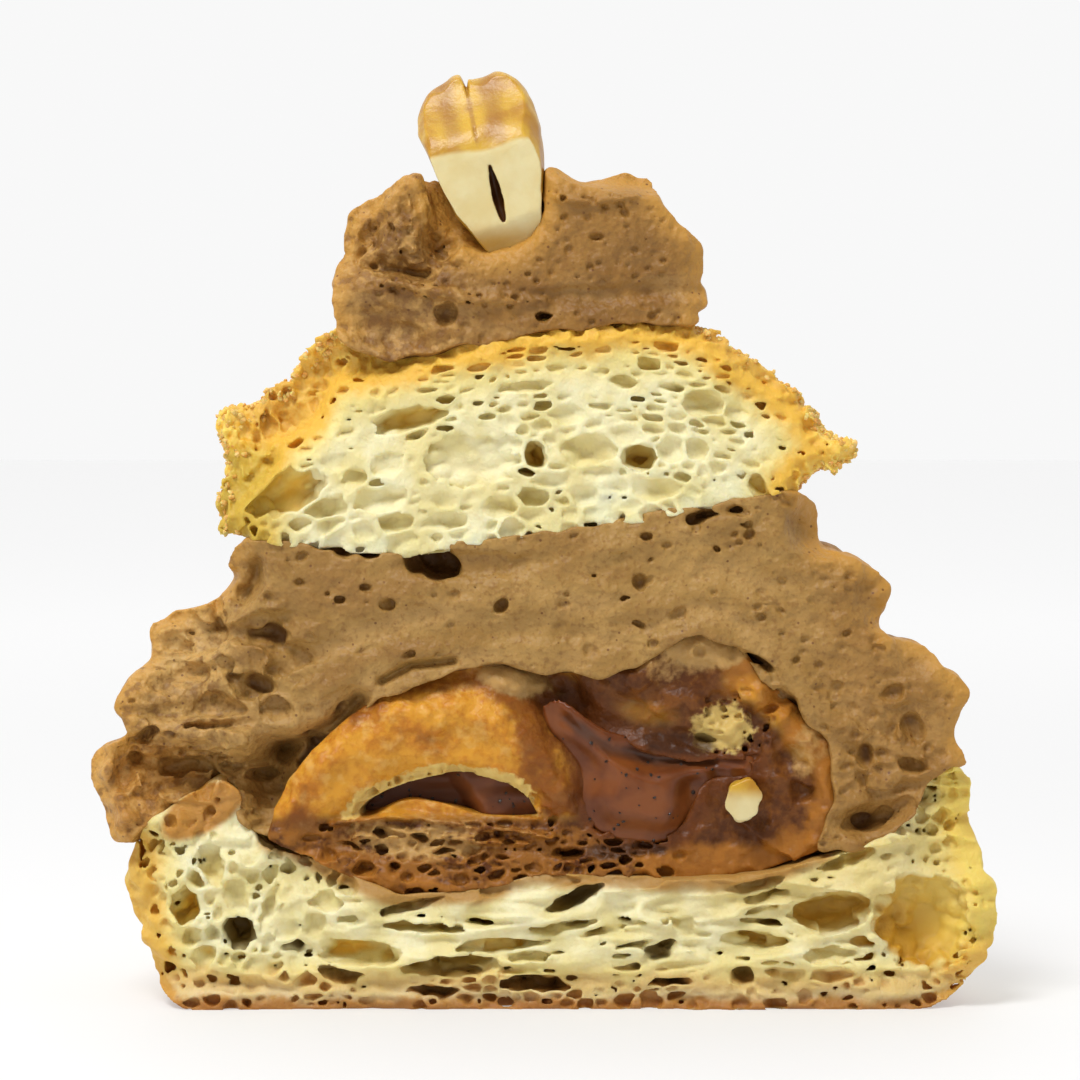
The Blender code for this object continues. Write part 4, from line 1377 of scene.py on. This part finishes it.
def crumb_finish(name, sugar, crust, crust_depth, floor):
    """Pale crumb that browns towards the outside. floor adds what only the lower bun has."""
    finish = Finish(name, {**GLOW, "Specular IOR Level": 0.35})
    below, hollow = finish.painted("below"), finish.painted("hollow")
    patches = finish.noise(4.0, 3.0)
    speck = finish.noise(0.7, 2.0, 0.2)
    crumb = finish.mix(patches.between(0.35, 0.65), colour(238, 230, 186), colour(226, 212, 150))
    # Painted shade and light: hollows behind the cut turn darker and gold, as shade and bounced light, and
    # those near the crust bright gold, as light shining through their thin walls.
    crumb = finish.mix(hollow.between(0.5, 2.6) * 0.85, crumb, colour(210, 186, 108))
    crumb = finish.mix(hollow.between(1.6, 4.0) * 0.9, crumb, colour(214, 168, 60))
    lit = hollow.between(1.2, 3.0) * below.between(8.0, 4.5)
    crumb = finish.mix(lit, crumb, colour(250, 206, 84))
    edge = below + (patches - 0.5) * 3.0 + (speck - 0.5) * 1.2
    upright = finish.along("Z").between(0.8, 4.0)
    near = edge.between(crust_depth + 1.4, crust_depth - 0.8) * upright
    buttery = edge.between(crust_depth + 3.4, crust_depth + 0.6) * upright
    browned = finish.mix(buttery * 0.7, crumb, colour(232, 210, 124))
    browned = finish.mix(near * 0.88, browned, crust)
    grain = finish.mix(speck.between(0.45, 0.7), sugar, crust)
    grain = finish.mix(finish.noise(12.0, 3.0, 0.7).between(0.36, 0.56) * 0.75, grain, colour(210, 157, 62))
    skin = finish.mix(edge.between(1.5, 0.5), browned, grain)
    at_face = finish.along("Y").between(CUT + 5, CUT + 2)
    if floor:
        # Painted light: behind the cut face the right end is painted in bright golds, as light glowing
        # through the thin wall of its big cave.
        end_cave = finish.along("X").between(27, 30) * hollow.between(0.6, 1.8)
        upper_end = (finish.along("X") + finish.along("Z") * 0.5).between(35, 43)
        end_cave_glow = finish.mix(upper_end, colour(196, 146, 42), colour(230, 198, 90))
        skin = finish.mix(end_cave, skin, end_cave_glow)
        soft = finish.along("X").between(4, 20) * finish.along("Z").between(6, 12)
        skin = finish.mix(soft * (1 - near) * 0.5, skin, colour(216, 190, 106))
        low = finish.along("Z") + (patches - 0.5) * 1.6
        # Painted light: near the cut the crust of the right end is painted pale yellow, as back light
        # glowing through its thin wall.
        right = finish.along("X").between(26, 34) * finish.along("Z").between(4, 8) * at_face
        skin = finish.mix(right * near * 0.8, skin, colour(232, 208, 104))
        toasted = low.between(4.4, 2.0) * (hollow.between(0.2, 1.0) * 0.55 + 0.35)
        skin = finish.mix(toasted, skin, colour(192, 134, 58))
        skin = finish.mix(low.between(1.5, 0.3) * 0.85, skin, colour(156, 98, 40))
        flap = finish.painted("flap") + (patches - 0.5) * 0.5
        skin = finish.mix(flap.between(0.3, 0.8) * 0.9, skin, colour(180, 118, 18))
        soaked = finish.painted("soaked") + (patches - 0.5) * 0.7
        skin = finish.mix(soaked.between(0.4, 0.95) * 0.9, skin, colour(170, 122, 50))
        # Painted shade: the listed deep slits of the lower bun are darkened nearly black.
        dark = finish.painted("dark") * hollow.between(0.5, 1.6)
        skin = finish.mix(dark * 0.8, skin, colour(84, 58, 22))
    else:
        # Painted light: the lower left corner of the lid near the cut is painted gold, as a cavity lit
        # through its thin wall.
        corner = finish.along("X").between(-21, -26) * finish.along("Z").between(52.5, 49.5)
        skin = finish.mix(corner * at_face * 0.8, skin, colour(196, 166, 62))
    rough = finish.noise(0.35, 3.0) + finish.noise(1.0, 2.0) * 0.8
    relief = rough * (1 - hollow.between(1.5, 3.0) * 0.7)
    return finish.finished(skin, 0.62 - speck * 0.15, relief, 0.12)


lid_crumb = crumb_finish("lid_crumb", colour(240, 204, 98), colour(230, 176, 48), 3.0, False)
base_crumb = crumb_finish("base_crumb", colour(234, 198, 100), colour(222, 172, 62), 2.6, True)
lid.data.materials.append(lid_crumb)
lower_bun.data.materials.append(base_crumb)


# %% [markdown]
# Cream is opaque and hardly glossy. Smears left lighter and darker bands, some of them painted light
# and shade on the ridges, ground nut left dark specks, and the outside dried and turned tan. Its
# hollows are painted darker, as shade. The rosette is a darker mix of the same cream.

# %% Cream
CREAM_GLOW = {"Subsurface Weight": 0.15, "Subsurface Radius": (1.0, 0.6, 0.3), "Subsurface Scale": 0.0008}


def cream_finish(name, dark, pale, reach, crumbly_side):
    """Light brown cream. Its outside dried and turned tan, down to reach mm below it.

    crumbly_side is where, from right to left, the cut face turns from smooth to crumbly."""
    finish = Finish(name, {**CREAM_GLOW, "Specular IOR Level": 0.3})
    below, hollow, smear = (finish.painted(layer) for layer in ("below", "hollow", "smear"))
    clouds = finish.noise(3.0, 4.0)
    fine = finish.noise(0.5, 3.0, 0.3)
    body = finish.mix(clouds.between(0.35, 0.68), dark, pale)
    body = finish.mix(smear.between(-0.4, 1.0) * 0.5, body, colour(188, 148, 88))
    body = finish.mix(smear.between(0.0, -1.2) * 0.5, body, colour(146, 104, 52))
    sunlit = finish.along("X").between(-26, -31) * finish.along("Z").between(27, 31)
    body = finish.mix(sunlit * 0.75, body, colour(206, 167, 102))
    toasted = finish.along("X").between(-29, -37) * finish.along("Z").between(27, 23)
    body = finish.mix(toasted * 0.7, body, colour(184, 126, 52))
    body = finish.mix(finish.along("X").between(20, 30) * 0.35, body, colour(150, 100, 40))
    end = finish.along("X").between(-38.4, -40.2) * finish.along("Z").between(15, 18)
    body = finish.mix(end * 0.7, body, colour(222, 176, 104))
    body = finish.mix(fine.between(0.5, 0.7) * 0.5, body, colour(130, 88, 38))
    # Painted shade: the cream is darker in its hollows and pores behind the cut.
    body = finish.mix(hollow.between(0.4, 2.0) * 0.85, body, colour(100, 64, 28))
    rim = (below + (clouds - 0.5) * 1.6).between(reach, 0.2)
    body = finish.mix(rim * 0.75, body, colour(200, 147, 64))
    crumbs = finish.noise(1.1, 4.0, 0.9)
    crumbly = finish.along("X").between(*crumbly_side) * finish.along("Y").between(CUT + 5, CUT + 3)
    body = finish.mix(crumbly * crumbs.between(0.5, 0.64) * 0.5, body, colour(208, 162, 92))
    body = finish.mix(crumbly * crumbs.between(0.48, 0.36) * 0.6, body, colour(118, 78, 36))
    dots = finish.cells(0.9, 0.1).between(0.17, 0.11) * finish.noise(1.6, 1.0, 0.6).between(0.5, 0.6)
    body = finish.mix(dots * 0.7, body, colour(92, 46, 20))
    relief = fine + finish.cells(0.5, 0.4) * 0.6 + crumbly * crumbs * 3.0
    return finish.finished(body, 0.55 - fine * 0.1, relief, 0.13)


praline = cream_finish("praline_cream", colour(156, 118, 58), colour(172, 134, 72), 2.6, (-24, -30))
rosette_cream = cream_finish("rosette_cream", colour(130, 90, 37), colour(152, 108, 46), 3.2, (-4, -9))
praline_cream.data.materials.append(praline)
rosette.data.materials.append(rosette_cream)


# %% [markdown]
# The small choux took up fat and caramel. Its roof is orange, its torn edge pale, its right side dark
# brown with tan on the rim, so nearly every colour here is steered by a number painted on its points.

# %% Small choux
def choux_finish():
    finish = Finish("choux_crust", {**GLOW, "Specular IOR Level": 0.2})
    hollow, torn, golden, crumb = (finish.painted(n) for n in ("hollow", "torn", "golden", "crumb"))
    creamy, dark, floor = (finish.painted(n) for n in ("creamy", "dark", "floor"))
    patches = finish.noise(3.0, 4.0)
    fine = finish.noise(0.6, 3.0, 0.3)
    mottled = patches * 0.6 + fine * 0.4
    body = finish.mix(mottled.between(0.4, 0.6), colour(90, 49, 19), colour(120, 71, 27))
    body = finish.mix(floor * mottled.between(0.38, 0.55), body, colour(150, 97, 37))
    gold = finish.mix(mottled.between(0.4, 0.62), colour(214, 152, 50), colour(190, 120, 36))
    gold = finish.mix(finish.noise(1.5, 3.0, 0.5).between(0.52, 0.72) * 0.6, gold, colour(226, 178, 96))
    rusty = finish.painted("rusty") + (patches - 0.5) * 2.6
    gold = finish.mix(rusty.between(0.2, 1.1) * 0.85, gold, colour(126, 68, 22))
    body = finish.mix(golden, body, gold)
    tan = finish.painted("tan") + (patches - 0.5) * 2.0
    body = finish.mix(tan.between(0.25, 1.0) * 0.9, body, colour(170, 110, 40))
    stained = finish.painted("stained") + (mottled - 0.5) * 1.6
    body = finish.mix(stained.between(0.2, 1.0) * 0.9, body, colour(104, 55, 20))
    body = finish.mix((torn + (fine - 0.5) * 1.4).between(0.45, 0.85), body, colour(218, 187, 108))
    pale = (crumb + (mottled - 0.5) * 3.0).between(0.25, 0.75) * crumb.between(0.02, 0.2)
    body = finish.mix(pale, body, colour(208, 178, 104))
    smear = (creamy + (mottled - 0.5) * 2.4).between(0.25, 0.95) * 0.9
    body = finish.mix(smear, body, colour(192, 153, 92))
    # Painted shade: the listed dark slits and gaps are painted dark brown.
    body = finish.mix((dark + (patches - 0.5) * 2.0).between(0.2, 1.0) * 0.85, body, colour(66, 36, 18))
    # Painted shade: hollows behind the cut are darkened.
    body = finish.mix(hollow.between(1.2, 3.2) * 0.8, body, colour(84, 44, 16))
    relief = fine + patches
    return finish.finished(body, 0.5 - fine * 0.2, relief, 0.16)


small_choux.data.materials.append(choux_finish())


# %% [markdown]
# Caramel is a brown glass: light goes in and comes out a little further on, and the surface shines
# softly under a thin coat.

# %% Caramel
CARAMEL_LOOK = {
    "Subsurface Weight": 0.3,
    "Subsurface Radius": (1.0, 0.4, 0.15),
    "Subsurface Scale": 0.0012,
    "Specular IOR Level": 0.3,
    "Coat Weight": 0.08,
    "Coat Roughness": 0.2,
}


def caramel_finish():
    finish = Finish("caramel", CARAMEL_LOOK)
    hollow = finish.painted("hollow")
    clouds = finish.noise(3.4, 3.0)
    body = finish.mix(clouds.between(0.35, 0.65), colour(128, 70, 28), colour(100, 49, 15))
    # Painted shade: darker where the caramel lies further behind the cut, in its hollow under the roof.
    deep = (hollow + (clouds - 0.5) * 2.0).between(1.6, 4.0)
    body = finish.mix(deep * 0.85, body, colour(84, 44, 18))
    # Painted shadow: a dark band along the top of the tongue, where the right crust shades it.
    shade_under_crust = (finish.painted("dark") + (clouds - 0.5)).between(0.2, 0.8)
    body = finish.mix(shade_under_crust * 0.75, body, colour(82, 52, 36))
    return finish.finished(body, 0.4 - clouds * 0.12 + deep * 0.3, clouds, 0.1)


caramel.data.materials.append(caramel_finish())

# %% [markdown]
# The nut is golden where it was roasted and cream-coloured where it was cut.

# %% Nut
NUT_GLOW = {"Subsurface Weight": 0.25, "Subsurface Radius": (1.0, 0.7, 0.4), "Subsurface Scale": 0.001}


def nut_finish():
    finish = Finish("roasted_nut", {**NUT_GLOW, "Specular IOR Level": 0.4})
    cut, low, seam = (finish.painted(layer) for layer in ("cut", "low", "seam"))
    patches = finish.noise(3.2, 3.0)
    fine = finish.noise(0.5, 3.0, 0.3)
    outside = finish.mix(patches.between(0.38, 0.66), colour(206, 163, 50), colour(178, 126, 30))
    # Painted shade: darker brown in the seam's groove and in the hollows beside it.
    outside = finish.mix(seam.between(0.1, 0.6) * 0.6, outside, colour(156, 104, 42))
    inside = finish.mix(patches.between(0.3, 0.7), colour(224, 210, 160), colour(216, 196, 138))
    inside = finish.mix(low, inside, colour(184, 140, 54))
    body = finish.mix(cut, outside, inside)
    # Painted shade: the slit between the halves is painted dark brown.
    body = finish.mix(finish.painted("deep"), body, colour(110, 66, 28))
    return finish.finished(body, 0.42 - fine * 0.1, fine, 0.05)


roasted = nut_finish()
nut.data.materials.append(roasted)
nut_chip.data.materials.append(roasted)

# %% [markdown]
# ## Grains
#
# Loose sugar crumbs on the lid and vanilla seeds in the caramel are many small things of one kind, so
# a node group strews them: points on the faces where a painted number allows, a rough ball on each,
# and at the end one ordinary mesh.

# %% Strewing grains
def strewn(name, piece, where, per_mm2, size, flat, finish, seed):
    """Rough grains of about that radius in mm on a piece, as one mesh."""
    tree = bpy.data.node_groups.new(name, "GeometryNodeTree")
    made = tree.interface
    made.new_socket("Geometry", in_out="INPUT", socket_type="NodeSocketGeometry")
    amount = made.new_socket("Amount", in_out="INPUT", socket_type="NodeSocketFloat")
    radius = made.new_socket("Radius", in_out="INPUT", socket_type="NodeSocketFloat")
    made.new_socket("Geometry", in_out="OUTPUT", socket_type="NodeSocketGeometry")

    def node(kind, settings, sockets):
        fresh = tree.nodes.new(kind)
        for key, value in settings.items():
            setattr(fresh, key, value)
        for key, value in sockets.items():
            if isinstance(value, bpy.types.NodeSocket):
                tree.links.new(value, fresh.inputs[key])
            else:
                fresh.inputs[key].default_value = value
        return fresh

    given = node("NodeGroupInput", {}, {}).outputs
    allowed = node("GeometryNodeInputNamedAttribute", {"data_type": "FLOAT"}, {"Name": where})
    sockets = {0: given["Amount"], 1: allowed.outputs["Attribute"]}
    density = node("ShaderNodeMath", {"operation": "MULTIPLY"}, sockets)
    thrown = node(
        "GeometryNodeDistributePointsOnFaces",
        {"distribute_method": "RANDOM"},
        {"Mesh": given["Geometry"], "Density": density.outputs[0], "Seed": seed},
    )
    ball = node("GeometryNodeMeshIcoSphere", {}, {"Radius": 1.0, "Subdivisions": 1})
    turn = node(
        "FunctionNodeRandomValue",
        {"data_type": "FLOAT_VECTOR"},
        {"Min": (0.0, 0.0, 0.0), "Max": (0.6, 0.6, 6.28), "Seed": seed},
    )
    sockets = {"Rotation": thrown.outputs["Rotation"]}
    lying = node("FunctionNodeRotateRotation", {"rotation_space": "LOCAL"}, sockets)
    tree.links.new(turn.outputs[0], lying.inputs["Rotate By"])
    share = node("FunctionNodeRandomValue", {"data_type": "FLOAT"}, {2: 0.45, 3: 1.2, "Seed": seed})
    grown = node("ShaderNodeMath", {"operation": "MULTIPLY"}, {0: given["Radius"], 1: share.outputs[1]})
    stretched = node(
        "ShaderNodeVectorMath", {"operation": "MULTIPLY"}, {0: grown.outputs[0], 1: (1.0, 0.8, flat)}
    )
    balls = node(
        "GeometryNodeInstanceOnPoints",
        {},
        {
            "Points": thrown.outputs["Points"],
            "Instance": ball.outputs["Mesh"],
            "Rotation": lying.outputs[0],
            "Scale": stretched.outputs[0],
        },
    )
    real = node("GeometryNodeRealizeInstances", {}, {"Geometry": balls.outputs[0]})
    rough = node("ShaderNodeTexNoise", {}, {"Scale": 0.45 / (size * MM)})
    sockets = {0: rough.outputs["Color"], 1: (0.5, 0.5, 0.5)}
    middle = node("ShaderNodeVectorMath", {"operation": "SUBTRACT"}, sockets)
    dent = 1.6 * size * MM * min(1, 2 * flat)
    shift = node("ShaderNodeVectorMath", {"operation": "SCALE"}, {0: middle.outputs[0], "Scale": dent})
    dented = node("GeometryNodeSetPosition", {}, {"Geometry": real.outputs[0], "Offset": shift.outputs[0]})
    painted = node("GeometryNodeSetMaterial", {}, {"Geometry": dented.outputs[0], "Material": finish})
    node("NodeGroupOutput", {}, {"Geometry": painted.outputs[0]})

    heap = bpy.data.objects.new(name, piece.data)
    bpy.context.scene.collection.objects.link(heap)
    strew = heap.modifiers.new("strew", "NODES")
    strew.node_group = tree
    strew[amount.identifier] = per_mm2 / MM**2
    strew[radius.identifier] = size * MM
    baked(heap)
    print(f"{name}: {len(heap.data.polygons)} triangles")
    return heap


# %% [markdown]
# A grain is too small to show a pattern of its own, so its finish is two shades of one colour.

# %% A plain finish
def plain_finish(name, shade, roughness, glow):
    finish = Finish(name, {"Roughness": roughness, "Subsurface Weight": glow, "Subsurface Scale": 0.001})
    tone = finish.noise(1.0, 2.0)
    return finish.finished(finish.mix(tone.between(0.3, 0.7), shade[0], shade[1]), roughness, tone, 0.02)


sugar = plain_finish("sugar_crumbs", (colour(238, 204, 120), colour(214, 156, 70)), 0.5, 0.3)
seeds = plain_finish("vanilla_seeds", (colour(30, 20, 14), colour(48, 32, 22)), 0.35, 0.0)
print("finishes of the grains:", sugar.name, "and", seeds.name)

# %% [markdown]
# Sugar crumbs lie where the lid was painted as grainy, and seeds where the caramel lies open. They
# are few enough, and their balls simple enough, to be ordinary meshes.

# %% Crumbs and seeds
loose_crumbs = strewn("loose_crumbs", lid, "grainy", 1.4, 0.34, 0.8, sugar, 81)
vanilla = strewn("vanilla_seeds", caramel, "open", 0.28, 0.2, 0.6, seeds, 82)

# %% [markdown]
# ## Putting the pieces on the frame
#
# Food has no joints, so every piece rides on the one body. Each one takes the place of its plain solid.

# %% Every piece on its body
for piece, node, slot in (
    (lid, "lid", "crumb"),
    (lower_bun, "lower_bun", "crumb"),
    (praline_cream, "praline_cream", "cream"),
    (rosette, "rosette", "cream"),
    (small_choux, "small_choux", "toast"),
    (caramel, "caramel", "caramel"),
    (nut, "nut", "nut"),
    (nut_chip, "nut_piece", "nut"),
    (loose_crumbs, "lid", "crumb"),
    (vanilla, "caramel", "caramel"),
):
    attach(piece, "root")
    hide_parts(node)

# %% [markdown]
# ## Table, light and camera
#
# Food is shown in soft white light from all round, so that its own colours show, with one larger lamp
# from the upper left to give the relief its shadows. The table glows a little towards its far end, so
# that it runs into the white behind it without a line.

# %% Table and light
TABLE_HALF = 1.5  # metres


def pale_floor():
    bm = bmesh.new()
    bmesh.ops.create_grid(bm, x_segments=1, y_segments=1, size=TABLE_HALF)
    mesh = bpy.data.meshes.new("table")
    bm.to_mesh(mesh)
    bm.free()
    obj = bpy.data.objects.new("table", mesh)
    bpy.context.scene.collection.objects.link(obj)
    white = Finish("white_table", {"Roughness": 0.7, "Emission Strength": 1.0})
    away = white.node("ShaderNodeVectorMath", {"operation": "LENGTH"}, {0: white.here}, "Value")
    glow = white.mix(away.between(0.08, 0.5), (0.37, 0.37, 0.37, 1), (0.49, 0.49, 0.49, 1))
    white.feed(white.shader.inputs["Emission Color"], glow)
    white.shader.inputs["Base Color"].default_value = (0.5, 0.5, 0.5, 1)
    mesh.materials.append(white.material)


def lamp(name, place, size, watts):
    data = bpy.data.lights.new(name, "AREA")
    data.shape = "RECTANGLE"
    data.size, data.size_y = size
    data.energy = watts
    obj = bpy.data.objects.new(name, data)
    bpy.context.scene.collection.objects.link(obj)
    obj.location = place
    obj.rotation_euler = (Vector((0, 0, 0.04)) - Vector(place)).to_track_quat("-Z", "Y").to_euler()


pale_floor()
world = bpy.data.worlds.new("white_tent")
bpy.context.scene.world = world
world.use_nodes = True
tent = world.node_tree
tent.nodes["Background"].inputs["Color"].default_value = (1, 1, 1, 1)
direction = tent.nodes.new("ShaderNodeTexCoord")
split = tent.nodes.new("ShaderNodeSeparateXYZ")
fade = tent.nodes.new("ShaderNodeMapRange")
fade.inputs["From Min"].default_value = -1.0
fade.inputs["From Max"].default_value = 0.5
fade.inputs["To Min"].default_value = 0.3
fade.inputs["To Max"].default_value = 0.94
tent.links.new(direction.outputs["Generated"], split.inputs["Vector"])
tent.links.new(split.outputs["Y"], fade.inputs["Value"])
tent.links.new(fade.outputs["Result"], tent.nodes["Background"].inputs["Strength"])
lamp("key", (-0.15, -0.28, 0.5), (0.18, 0.18), 2.3)
bpy.context.scene.view_settings.view_transform = "Standard"

# %% [markdown]
# A long lens from a little above shows the cut as flat as a drawing, with hardly any perspective.

# %% Camera
LENS = 135.0
SENSOR = 36.0
SEEN = 97.2 * MM  # how much of the cut's plane the picture holds
CAMERA_RISE = 3.0  # degrees above level
MIDDLE = Vector((-0.0001, CUT * MM, 0.0426))

camera_data = bpy.data.cameras.new("camera")
camera_data.lens = LENS
camera_data.sensor_width = SENSOR
camera = bpy.data.objects.new("camera", camera_data)
bpy.context.scene.collection.objects.link(camera)
away = SEEN * LENS / SENSOR
rise = math.radians(CAMERA_RISE)
back = Vector((0, -math.cos(rise), math.sin(rise)))
camera.location = MIDDLE + away * back
camera.rotation_euler = (-back).to_track_quat("-Z", "Y").to_euler()
bpy.context.scene.camera = camera
